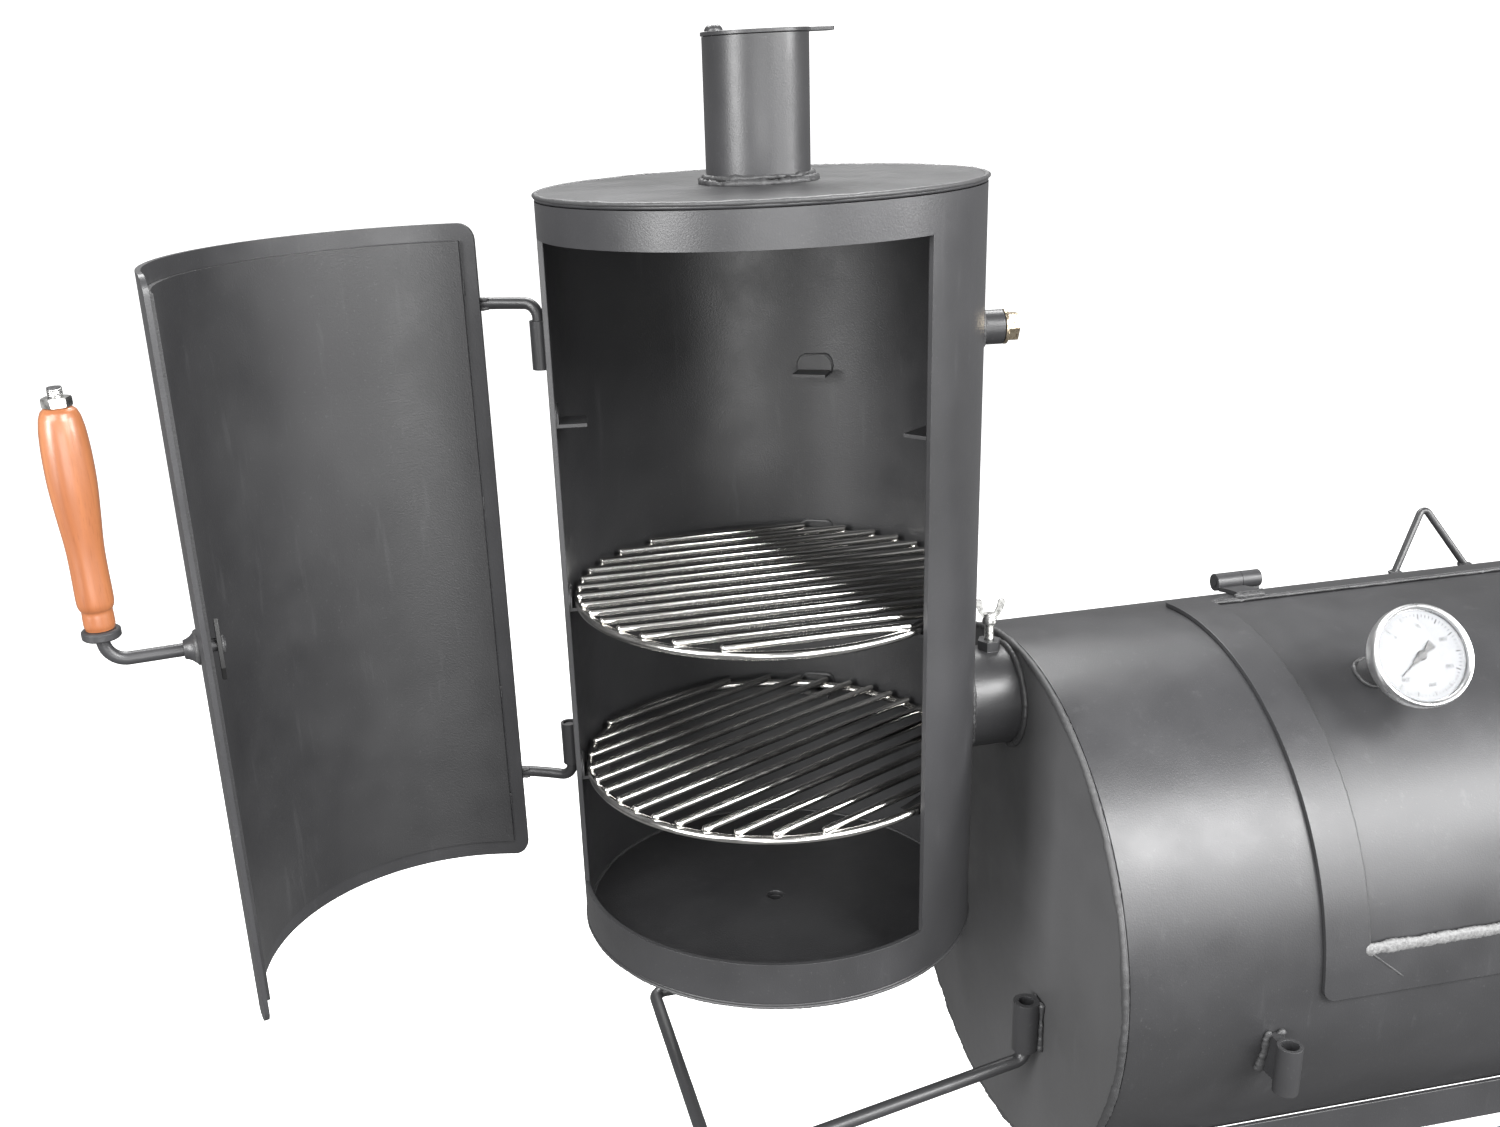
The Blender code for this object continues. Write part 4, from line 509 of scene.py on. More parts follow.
def sweep(bm, path, radius, sides=20, dome=0.0, closed=False, lumps=None, squash=1.0, up=None):
    """Sweep a circle along a path.  dome rounds both ends; lumps(i, k) scales single points."""
    points = [Vector(p) for p in path]
    sizes = [1.0] * len(points)
    if dome and not closed:
        first = (points[1] - points[0]).normalized()
        final = (points[-1] - points[-2]).normalized()
        head, tail = [], []
        for k in range(1, 5):
            a = math.pi / 2.0 * k / 4.4
            head.insert(0, (points[0] - first * radius * dome * math.sin(a), math.cos(a)))
            tail.append((points[-1] + final * radius * dome * math.sin(a), math.cos(a)))
        points = [p for p, _ in head] + points + [p for p, _ in tail]
        sizes = [s for _, s in head] + sizes + [s for _, s in tail]
    count = len(points)
    loops = []
    previous = None
    for i, point in enumerate(points):
        ahead = points[(i + 1) % count] if closed or i < count - 1 else None
        behind = points[i - 1] if closed or i > 0 else None
        if ahead is None:
            tangent = (point - behind).normalized()
        elif behind is None:
            tangent = (ahead - point).normalized()
        else:
            tangent = ((point - behind).normalized() + (ahead - point).normalized()).normalized()
        if up is not None:
            other = Vector(up(point)).normalized()
            side = tangent.cross(other).normalized()
            other = side.cross(tangent)
        elif previous is None:
            seed = Vector((0.0, 0.0, 1.0)) if abs(tangent.z) < 0.9 else Vector((1.0, 0.0, 0.0))
            side = tangent.cross(seed).normalized()
            other = tangent.cross(side)
        else:
            side = (previous - tangent * previous.dot(tangent)).normalized()
            other = tangent.cross(side)
        previous = side
        loop = []
        for k in range(sides):
            a = 2.0 * math.pi * k / sides
            size = radius * sizes[i] * (lumps(i, k) if lumps else 1.0)
            loop.append(bm.verts.new(point + side * math.cos(a) * size
                                     + other * math.sin(a) * size * squash))
        loops.append(loop)
    pairs = list(zip(loops, loops[1:])) + ([(loops[-1], loops[0])] if closed else [])
    for a, b in pairs:
        for k in range(sides):
            m = (k + 1) % sides
            bm.faces.new((a[k], a[m], b[m], b[k]))
    if not closed:
        bm.faces.new(loops[0])
        bm.faces.new(loops[-1])


def rod(path, radius, sides=20, dome=0.0):
    bm = bmesh.new()
    sweep(bm, path, radius, sides, dome)
    return bm


def circle(radius, z, steps, place=Matrix.Identity(4), start=0.0, turn=360.0):
    count = steps if abs(turn) >= 360.0 else steps + 1
    return [place @ polar(radius, start + turn * k / steps, z) for k in range(count)]


def line(start, final, step=0.0016):
    start, final = Vector(start), Vector(final)
    count = max(2, int((final - start).length / step))
    return [start.lerp(final, k / count) for k in range(count + 1)]


def weld(name, path, body, place=HOME, radius=WELD_RADIUS, closed=False, rough=0.16, squash=0.75,
         pitch=3, finish="weld", seed=0.0, up=None, sides=10):
    """A welded bead: overlapping ripples, uneven width, standing on the seam it follows."""
    size = len(path)

    def lumps(i, k):
        turn = 2.0 * math.pi * i / size
        where = Vector((math.cos(turn) * size * 0.05, math.sin(turn) * size * 0.05,
                        seed + 0.35 * k / sides)) if closed else Vector((i * 0.33, seed, 0.12 * k))
        wide = noise.noise(where * 0.45) * rough * 1.6
        fine = noise.noise(where * 2.1 + Vector((0.0, 5.0, 0.0))) * rough
        ripple = ((i % pitch) / pitch - 0.4) * 0.14
        return 1.0 + wide + fine + ripple

    bm = bmesh.new()
    sweep(bm, path, radius, sides, 0.0 if closed else 0.9, closed, lumps, squash, up)
    return piece(name, bm, finish, body, place=place, edge=0.0, smooth=75.0)


def curved_sheet(r_in, r_out, angles, levels, keep, place=Matrix.Identity(4), closed=False):
    """A pipe wall cut in cells: levels(a) gives the heights at an angle, keep(i, j) the cells left."""
    bm = bmesh.new()
    grid = []
    for a in angles:
        heights = levels(a)
        grid.append([[bm.verts.new(place @ polar(radius, a, z)) for z in heights]
                     for radius in (r_in, r_out)])
    columns = len(angles) if closed else len(angles) - 1
    rows = len(levels(angles[0])) - 1

    def solid(i, j):
        if closed:
            i %= columns
        return 0 <= i < columns and 0 <= j < rows and keep(i, j)

    for i in range(columns):
        here, after = grid[i], grid[(i + 1) % len(angles)]
        for j in range(rows):
            if not solid(i, j):
                continue
            for skin in (0, 1):
                bm.faces.new((here[skin][j], after[skin][j], after[skin][j + 1], here[skin][j + 1]))
            for near, column in ((i - 1, here), (i + 1, after)):
                if not solid(near, j):
                    bm.faces.new((column[0][j], column[0][j + 1], column[1][j + 1], column[1][j]))
            for near, level in ((j - 1, j), (j + 1, j + 1)):
                if not solid(i, near):
                    bm.faces.new((here[0][level], after[0][level],
                                  after[1][level], here[1][level]))
    return bm


def angle_steps(first, final, step, marks=()):
    """Angles from first to final about a step apart, with every mark among them."""
    stops = sorted([first, final] + [m for m in marks if first < m < final])
    angles = []
    for a, b in zip(stops, stops[1:]):
        count = max(1, round((b - a) / step))
        angles += [a + (b - a) * k / count for k in range(count)]
    return angles + [final]


def frame_sheet(r_in, r_out, outer, inner, corner, step, place=Matrix.Identity(4)):
    """Four curved strips in one frame with rounded outer corners and a rectangular window."""
    a0, a1, z0, z1 = outer
    b0, b1, w0, w1 = inner
    reach = math.degrees(corner / r_out)
    marks = [b0, b1]
    for k in range(1, 7):
        part = reach * (1.0 - math.cos(math.pi / 2.0 * k / 6))
        marks += [a0 + part, a1 - part]
    angles = angle_steps(a0, a1, step, marks)

    def levels(a):
        near = min(a - a0, a1 - a)
        drop = 0.0
        if near < reach:
            s = corner * (1.0 - near / reach)
            drop = corner - math.sqrt(max(corner * corner - s * s, 0.0))
        return (z0 + drop, w0, w1, z1 - drop)

    def keep(i, j):
        middle = (angles[i] + angles[i + 1]) / 2.0
        return not (j == 1 and b0 < middle < b1)

    return curved_sheet(r_in, r_out, angles, levels, keep, place)


# ------------------------------------------------------------------ upright tower
def build_tower():
    low = TOWER_BOTTOM + PLATE + GAP
    high = TOWER_TOP - PLATE - GAP
    hinge_side, free_side, sill, head = OPENING
    angles = angle_steps(hinge_side, hinge_side + 360.0, 2.5, (free_side,))[:-1]

    def keep(i, j):
        return not (j == 1 and hinge_side <= angles[i] < free_side - 0.01)

    shell = curved_sheet(TOWER_IN, TOWER_R, angles, lambda a: (low, sill, head, high), keep,
                         closed=True)
    passage = disc(STUB_R - 0.004, 0.12, 0.25, 48, along((0, 0, STUB_Z), (1, 0, 0)))
    port = disc(0.0105, 0.12, 0.25, SMALL, along((0, 0, PORT_Z), polar(1.0, PORT_ANGLE)))
    piece("tower_shell_fine", shell, "paint", "smoker", ("tower_shell",), edge=0.0007,
          tools=((passage, "DIFFERENCE"), (port, "DIFFERENCE")))
    # inside, a thin skin lines the same wall in the inside paint: darker as painted shade, and duller from
    # its rougher finish
    skin = curved_sheet(TOWER_IN - 0.0003, TOWER_IN - 0.0001, angles,
                        lambda a: (low, sill - 0.0006, head + 0.0006, high), keep, closed=True)
    holes = (disc(STUB_R - 0.0035, 0.12, 0.25, 48, along((0, 0, STUB_Z), (1, 0, 0))),
             disc(0.0108, 0.12, 0.25, SMALL, along((0, 0, PORT_Z), polar(1.0, PORT_ANGLE))))
    piece("tower_inner_painted_shade_skin", skin, "inside", "smoker", edge=0.0,
          tools=tuple((hole, "DIFFERENCE") for hole in holes))

    for i, level in enumerate(LUG_LEVELS):
        for k, angle in enumerate(LUG_ANGLES):
            build_lug("grate_lug_%d_%d" % (i, k), level, angle)

    hole = CHIMNEY_R - 0.003
    top = turned([(hole, TOWER_TOP - PLATE), (TOWER_R, TOWER_TOP - PLATE), (TOWER_R, TOWER_TOP),
                  (hole, TOWER_TOP)], ROUND)
    piece("tower_top_plate_fine", top, "paint", "smoker", ("tower_top_plate",), edge=0.0016)
    # the floor plate takes the inside paint, whose darker colour is painted shade
    floor = turned([(0.0077, TOWER_BOTTOM), (TOWER_R, TOWER_BOTTOM), (TOWER_R, TOWER_BOTTOM + PLATE),
                    (0.0077, TOWER_BOTTOM + PLATE)], ROUND)
    piece("tower_floor_plate_fine", floor, "inside", "smoker", ("tower_floor_plate",), edge=0.0014)
    # short drain nipple under the hole, which keeps the hole dark from above
    drain = ring(0.0079, 0.0106, TOWER_BOTTOM - 0.040, TOWER_BOTTOM - 0.0002, SMALL)
    piece("tower_drain_nipple", drain, "inside", "smoker", (), edge=0.0005)
    weld("tower_top_weld", circle(TOWER_R - 0.0012, TOWER_TOP - 0.0012, 420), "smoker",
         radius=0.0026, closed=True, rough=0.13, seed=1.0)
    weld("tower_bottom_weld", circle(TOWER_R - 0.0014, TOWER_BOTTOM + 0.0016, 420), "smoker",
         radius=0.0023, closed=True, rough=0.10, seed=2.0)
    weld("tower_floor_seam", circle(TOWER_IN - 0.0008, TOWER_BOTTOM + PLATE + 0.0008, 380), "smoker",
         radius=0.0017, closed=True, rough=0.2, seed=3.0, finish="weld")


def build_lug(name, level, angle):
    """A bent tab: a rounded back plate welded to the wall and a flat shelf standing out of it."""
    out = polar(1.0, angle)
    side = Vector((0, 0, 1)).cross(out)
    upright = Matrix(((side.x, 0.0, -out.x, TOWER_IN * out.x - 0.0004 * out.x),
                      (side.y, 0.0, -out.y, TOWER_IN * out.y - 0.0004 * out.y),
                      (0.0, 1.0, 0.0, level), (0.0, 0.0, 0.0, 1.0)))
    half = 0.016
    outline = [(-half, -0.003), (half, -0.003), (half, 0.004)]
    for k in range(7):
        a = math.pi / 2.0 * k / 6
        outline.append((half - 0.008 + 0.008 * math.cos(a), 0.004 + 0.009 * math.sin(a)))
    for k in range(7):
        a = math.pi / 2.0 * (1.0 + k / 6)
        outline.append((-half + 0.008 + 0.008 * math.cos(a), 0.004 + 0.009 * math.sin(a)))
    outline.append((-half, 0.004))
    bm = extruded(outline, 0.0, 0.003, upright)
    shelf = bmesh.new()
    block(shelf, (-half + 0.0003, -0.0029, 0.0015), (half - 0.0003, 0.0, 0.026), upright)
    # the lug takes the inside paint, whose darker colour is painted shade
    piece(name, bm, "inside", "smoker", ("tower_shell",), tools=((shelf, "UNION"),))
    arc = [upright @ Vector((x, y, 0.0006)) for x, y in
           ([(half - 0.001, 0.0)] + outline[3:-1] + [(-half + 0.001, 0.0)])]
    points = []
    for a, b in zip(arc, arc[1:]):
        points += line(a, b)[:-1]
    weld(name + "_weld", points, "smoker", radius=0.0021, rough=0.30, seed=level + angle,
         up=lambda p: -out)


def build_round_grate(node, name, body):
    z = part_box(node)[0].z + GRATE_RING_R * math.sin(math.radians(60.0))
    turn = 27.0 if node.endswith("lower") else 0.0
    spin = Matrix.Translation((0.0, 0.0, z)) @ Matrix.Rotation(math.radians(turn), 4, "Z")
    bm = bmesh.new()
    sweep(bm, circle(GRATE_R, 0.0, 120, spin), GRATE_RING_R * 0.95, 16, closed=True)
    piece(name + "_ring", bm, "stainless", body, (node,), edge=0.0, smooth=60.0)
    lift = GRATE_RING_R * 0.866 + GRATE_BAR_R * 0.866 - 0.0008
    count = 14
    for k in range(count):
        y = (k - (count - 1) / 2.0) * 0.0226
        half = math.sqrt(GRATE_R * GRATE_R - y * y) - 0.0005
        bm = rod([spin @ Vector((-half, y, lift)), spin @ Vector((half, y, lift))],
                 GRATE_BAR_R, 16, dome=0.8)
        piece("%s_bar_%02d" % (name, k), bm, "stainless", body, (node,), edge=0.0, smooth=60.0)


def build_port():
    fitting = along((0, 0, PORT_Z), polar(1.0, PORT_ANGLE))
    base = TOWER_R + GAP
    coupling = turned([(0.0105, base), (0.0140, base), (0.0140, base + 0.020),
                       (0.0105, base + 0.020)], 48, fitting)
    piece("probe_port_coupling_fine", coupling, "paint", "smoker", ("probe_port_coupling",))
    weld("probe_port_weld", circle(0.0152, base + 0.0012, 84, fitting), "smoker", radius=0.0034,
         closed=True, rough=0.2, seed=4.0)
    seat = base + 0.020 + GAP
    plug = turned([(0.0, base + 0.004), (0.0100, base + 0.004), (0.0100, seat), (0.0138, seat),
                   (0.0142, seat + 0.0006), (0.0142, seat + 0.0024), (0.0138, seat + 0.003),
                   (0.0, seat + 0.003)], 48, fitting)
    hexa = extruded(hexagon(0.0122), seat + 0.002, seat + 0.012, fitting)
    piece("probe_port_plug_fine", plug, "nickel", "smoker", ("probe_port_plug",),
          tools=((hexa, "UNION"),))


def build_chimney():
    inner = CHIMNEY_R - 0.003
    low = TOWER_TOP + GAP
    pipe = turned([(inner, low), (CHIMNEY_R, low), (CHIMNEY_R, CHIMNEY_TOP), (inner, CHIMNEY_TOP)],
                  96)
    pivot = Matrix.Translation((DAMPER_PIVOT, 0.0, 0.0))
    boss = disc(0.0075, CHIMNEY_TOP - 0.025, CHIMNEY_TOP - 0.0001, SMALL, pivot)
    bore = disc(0.0043, CHIMNEY_TOP - 0.040, CHIMNEY_TOP + 0.010, SMALL, pivot)
    piece("chimney_pipe_fine", pipe, "paint", "smoker", ("chimney_pipe",), edge=0.0005,
          tools=((boss, "UNION"), (bore, "DIFFERENCE")))
    weld("chimney_weld_low", circle(CHIMNEY_R + 0.0016, TOWER_TOP + 0.0012, 150), "smoker",
         radius=0.0046, closed=True, rough=0.34, seed=5.0, pitch=5)
    weld("chimney_weld_high", circle(CHIMNEY_R + 0.0004, TOWER_TOP + 0.0052, 130), "smoker",
         radius=0.0026, closed=True, rough=0.55, seed=6.0, pitch=4)

    plate_low, plate_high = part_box("chimney_damper_plate")
    z0, z1 = plate_low.z, plate_high.z
    outline = [tuple(polar(CHIMNEY_R + 0.001, 14.0 + 332.0 * k / 96).xy) for k in range(97)]
    outline += [(0.0585, -0.0102), (0.0605, -0.0082), (0.0605, 0.0082), (0.0585, 0.0102)]
    plate = extruded(outline, z0, z1)
    hole = disc(0.0046, z0 - 0.01, z1 + 0.01, SMALL, pivot)
    piece("chimney_damper_plate_fine", plate, "paint", "damper", ("chimney_damper_plate",),
          tools=((hole, "DIFFERENCE"),))
    head = z1 + GAP
    dome = [(0.0072 * math.cos(a), head + 0.0052 * math.sin(a))
            for a in [math.pi / 2.0 * k / 8 for k in range(8)]]
    bolt = turned([(0.0, CHIMNEY_TOP - 0.030), (0.0039, CHIMNEY_TOP - 0.030), (0.0039, head)]
                  + dome + [(0.0, head + 0.0052)], SMALL, pivot)
    piece("chimney_damper_bolt_fine", bolt, "paint", "smoker", ("chimney_damper_bolt",), edge=0.0)


# ------------------------------------------------------------------ tower door
def door_limits():
    kerf = math.degrees(KERF / TOWER_R)
    return OPENING[0] + kerf, OPENING[1] - kerf


def build_door():
    a0, a1 = door_limits()
    z0, z1 = DOOR_PANEL
    spindle = along((0, 0, SPINDLE_Z), polar(1.0, SPINDLE_ANGLE))
    hole = ROD_R + GAP
    # the door panel takes the inside paint, whose darker colour is painted shade
    panel = ring(TOWER_IN, TOWER_R, z0, z1, 56, start=a0, sweep=a1 - a0)
    piece("door_panel_fine", panel, "inside", "tower_door", ("door_panel",), DOOR, edge=0.0005,
          tools=((disc(hole, 0.15, 0.22, SMALL, spindle), "DIFFERENCE"),))
    lap = math.degrees(DOOR_LAP / TOWER_R)
    width = math.degrees(STRIP_WIDTH / TOWER_R)
    outer = (OPENING[0] - lap, OPENING[1] + lap, *DOOR_STRIPS)
    window = (outer[0] + width, outer[1] - width, outer[2] + STRIP_WIDTH, outer[3] - STRIP_WIDTH)
    strip_in = TOWER_R + GAP
    strip_out = strip_in + STRIP
    strips = frame_sheet(strip_in, strip_out, outer, window, 0.014, 2.5)
    piece("door_frame_strips_fine", strips, "paint", "tower_door", ("door_frame_strips",), DOOR,
          edge=0.0008, tools=((disc(hole, 0.15, 0.22, SMALL, spindle), "DIFFERENCE"),))

    # tack welds in the gap between panel and strips, seen from inside the door
    tacks = ((a0 - 0.1, 1.486), (a0 - 0.1, 1.300), (a0 - 0.1, 1.120), (a0 - 0.1, 1.010),
             (a1 + 0.1, 1.470), (a1 + 0.1, 1.330), (a1 + 0.1, 1.170), (a1 + 0.1, 1.020))
    for k, (a, z) in enumerate(tacks):
        path = [polar(TOWER_R - 0.0006, a, z + s * 0.0016) for s in range(8)]
        weld("door_tack_%d" % k, path, "tower_door", DOOR, radius=0.0008, rough=0.35, seed=7.0 + k)
    # outside, the panel is stitched to the window edge of the strips
    mid = (window[0] + window[1]) / 2.0
    half = (window[1] - window[0]) / 2.0
    for k, z in enumerate((window[2], window[3])):
        path = [polar(TOWER_R + 0.001, mid - half + 2.0 * half * s / 120, z) for s in range(121)]
        weld("door_window_weld_%d" % k, path, "tower_door", DOOR, radius=0.0026, rough=0.25,
             seed=16.0 + k)
    for k, a in enumerate((window[0], window[1])):
        path = line(polar(TOWER_R + 0.001, a, window[2]), polar(TOWER_R + 0.001, a, window[3]), 0.002)
        weld("door_window_weld_%d" % (k + 2), path, "tower_door", DOOR, radius=0.0026, rough=0.25,
             seed=18.0 + k)

    sleeves = ((1.4770, -1.0, 1.4220, 1.4630, "upper"), (1.0400, 1.0, 1.0540, 1.0950, "lower"))
    for rod_z, turn, low, high, label in sleeves:
        build_hinge(rod_z, turn, low, high, label)

    seat = strip_out + GAP
    boss = turned([(hole, seat), (0.0118, seat), (0.0116, seat + 0.0022), (0.0092, seat + 0.0048),
                   (0.0078, seat + 0.0075), (0.0073, seat + 0.0096), (0.0068, seat + 0.0100),
                   (hole, seat + 0.0100)], 48, spindle)
    piece("door_handle_boss_fine", boss, "paint", "tower_door", ("door_handle_boss",), DOOR)
    weld("door_boss_weld", circle(0.0122, seat + 0.0002, 76, spindle), "tower_door", DOOR,
         radius=0.0020, closed=True, rough=0.25, seed=20.0)


def build_hinge(rod_z, turn, low, high, label):
    """A rod bent out of the door's curve into a sleeve that stands off the tower on a web."""
    bend = 0.012
    short = math.degrees(bend / HINGE_RADIUS)
    path = []
    for k in range(15):
        path.append(polar(HINGE_RADIUS, HINGE_ANGLE + 26.0 + (short - 26.0) * k / 14.0, rod_z))
    centre = rod_z + turn * bend
    for k in range(1, 11):
        a = math.pi / 2.0 * k / 10
        path.append(polar(HINGE_RADIUS, HINGE_ANGLE + short * (1.0 - math.sin(a)),
                          centre - turn * bend * math.cos(a)))
    far = low if turn < 0 else high
    path.append(Vector((HINGE.x, HINGE.y, far - turn * 0.002)))
    name = "door_hinge_rod_" + label
    piece(name + "_fine", rod(path, ROD_R, 24), "paint", "tower_door", (name,), DOOR, edge=0.0008,
          smooth=40.0)
    for side in (-1.0, 1.0):
        seam = [p + Vector((0.0, 0.0, side * 0.0036)) - polar(0.0034, HINGE_ANGLE + 18.0)
                for p in path[:9]]
        points = []
        for a, b in zip(seam, seam[1:]):
            points += line(a, b)[:-1]
        weld("%s_weld_%d" % (name, side > 0), points, "tower_door", DOOR, radius=0.0026,
             rough=0.3, seed=rod_z + side)

    name = "door_hinge_sleeve_" + label
    sleeve = ring(ROD_R + GAP, 0.0078, low, high, 40, Matrix.Translation(HINGE))
    web = bmesh.new()
    side = Matrix.Rotation(math.radians(HINGE_ANGLE), 4, "Z")
    block(web, (TOWER_R + GAP, -0.0035, low + 0.0015),
          (HINGE_RADIUS - ROD_R - 0.0012, 0.0035, high - 0.0015), side)
    piece(name + "_fine", sleeve, "paint", "smoker", (name,), tools=((web, "UNION"),))
    for k, offset in enumerate((-0.0042, 0.0042)):
        base = side @ Vector((TOWER_R + 0.0012, offset, 0.0))
        path = line(base + Vector((0, 0, low + 0.001)), base + Vector((0, 0, high - 0.001)))
        weld("%s_weld_%d" % (name, k), path, "smoker", radius=0.0027, rough=0.32, seed=low + k,
             up=lambda p: polar(1.0, HINGE_ANGLE))


def build_handle():
    spindle = along((0, 0, SPINDLE_Z), polar(1.0, SPINDLE_ANGLE))
    tongue_out = TOWER_IN - 0.0052
    tongue_in = tongue_out - 0.0035
    corner = polar(TOWER_R + HANDLE_REACH, SPINDLE_ANGLE, SPINDLE_Z)
    top = SPINDLE_Z + GRIP_START + GRIP_LENGTH + 0.014
    path = rounded([polar(tongue_in - 0.003, SPINDLE_ANGLE, SPINDLE_Z), corner,
                    Vector((corner.x, corner.y, top))], 0.016, 12)
    upright = Matrix.Translation((corner.x, corner.y, 0.0))
    flange = SPINDLE_Z + GRIP_START - GAP
    washer = turned([(0.0, flange - 0.007), (0.0128, flange - 0.007), (0.0140, flange - 0.0058),
                     (0.0140, flange - 0.0012), (0.0128, flange), (0.0, flange)], 48, upright)
    piece("door_handle_rod_fine", rod(path, ROD_R, 24), "paint", "door_handle",
          ("door_handle_rod",), DOOR, edge=0.0004, smooth=40.0, tools=((washer, "UNION"),))
    grip = Matrix.Translation((corner.x, corner.y, SPINDLE_Z + GRIP_START))
    piece("door_handle_grip_fine", grip_shape(grip), "wood_upright", "door_handle",
          ("door_handle_grip",), DOOR, edge=0.0)
    low = SPINDLE_Z + GRIP_START + GRIP_LENGTH + GAP
    nut = extruded(hexagon(0.0105), low, low + 0.0065, upright)
    chamfer = turned([(0.0, low - 0.001), (0.0094, low - 0.001), (0.0108, low + 0.0012),
                      (0.0108, low + 0.0050), (0.0092, low + 0.0075), (0.0, low + 0.0075)],
                     48, upright)
    piece("door_handle_nut_fine", nut, "zinc", "door_handle", ("door_handle_nut",), DOOR,
          edge=0.0002, tools=((chamfer, "INTERSECT"), (disc(ROD_R + GAP, low - 0.01, low + 0.02,
                                                            SMALL, upright), "DIFFERENCE")))
    thread = [upright @ Vector((0.0049 * math.cos(t), 0.0049 * math.sin(t),
                                low + 0.0068 + 0.00125 * t / (2.0 * math.pi)))
              for t in [2.0 * math.pi * k / 20 for k in range(95)]]
    piece("door_handle_thread", rod(thread, 0.0005, 6), "zinc", "door_handle", (), DOOR, edge=0.0,
          smooth=60.0)
    outline = [(-0.0075, 0.008), (0.0010, 0.021), (0.0075, 0.008), (0.0075, -0.017), (0.0, -0.029),
               (-0.0075, -0.017)]
    tongue = extruded(outline, tongue_in, tongue_out, spindle)
    piece("door_latch_tongue_fine", tongue, "tongue", "door_handle", ("door_latch_tongue",), DOOR,
          edge=0.0005, tools=((disc(ROD_R - 0.0002, 0.14, 0.20, SMALL, spindle), "DIFFERENCE"),))
    weld("door_tongue_weld", circle(0.0056, tongue_in - 0.0002, 34, spindle), "door_handle", DOOR,
         radius=0.0019, closed=True, rough=0.3, seed=22.0)


def grip_shape(place):
    """Turned grip: a neck with a bead at the bottom, a long waist and a full shoulder."""
    knots = [(0.0, 0.0102), (0.003, 0.0111), (0.010, 0.0111), (0.0142, 0.0110), (0.0165, 0.0122),
             (0.0195, 0.0130), (0.026, 0.0132), (0.045, 0.0130), (0.062, 0.0133), (0.086, 0.0152),
             (0.108, 0.0167), (0.130, 0.0167), (0.146, 0.0157), (0.155, 0.0141), (0.1595, 0.0122),
             (0.1615, 0.0100), (GRIP_LENGTH, 0.0085)]
    outline = [(ROD_R + GAP, 0.0)]
    for i in range(len(knots) - 1):
        p0 = knots[max(i - 1, 0)]
        p1, p2 = knots[i], knots[i + 1]
        p3 = knots[min(i + 2, len(knots) - 1)]
        for k in range(4):
            t = k / 4.0
            radius = 0.5 * (2 * p1[1] + (p2[1] - p0[1]) * t
                            + (2 * p0[1] - 5 * p1[1] + 4 * p2[1] - p3[1]) * t * t
                            + (3 * p1[1] - p0[1] - 3 * p2[1] + p3[1]) * t ** 3)
            outline.append((radius, p1[0] + (p2[0] - p1[0]) * t))
    outline += [(knots[-1][1], GRIP_LENGTH), (ROD_R + GAP, GRIP_LENGTH)]
    return turned(outline, 64, place)


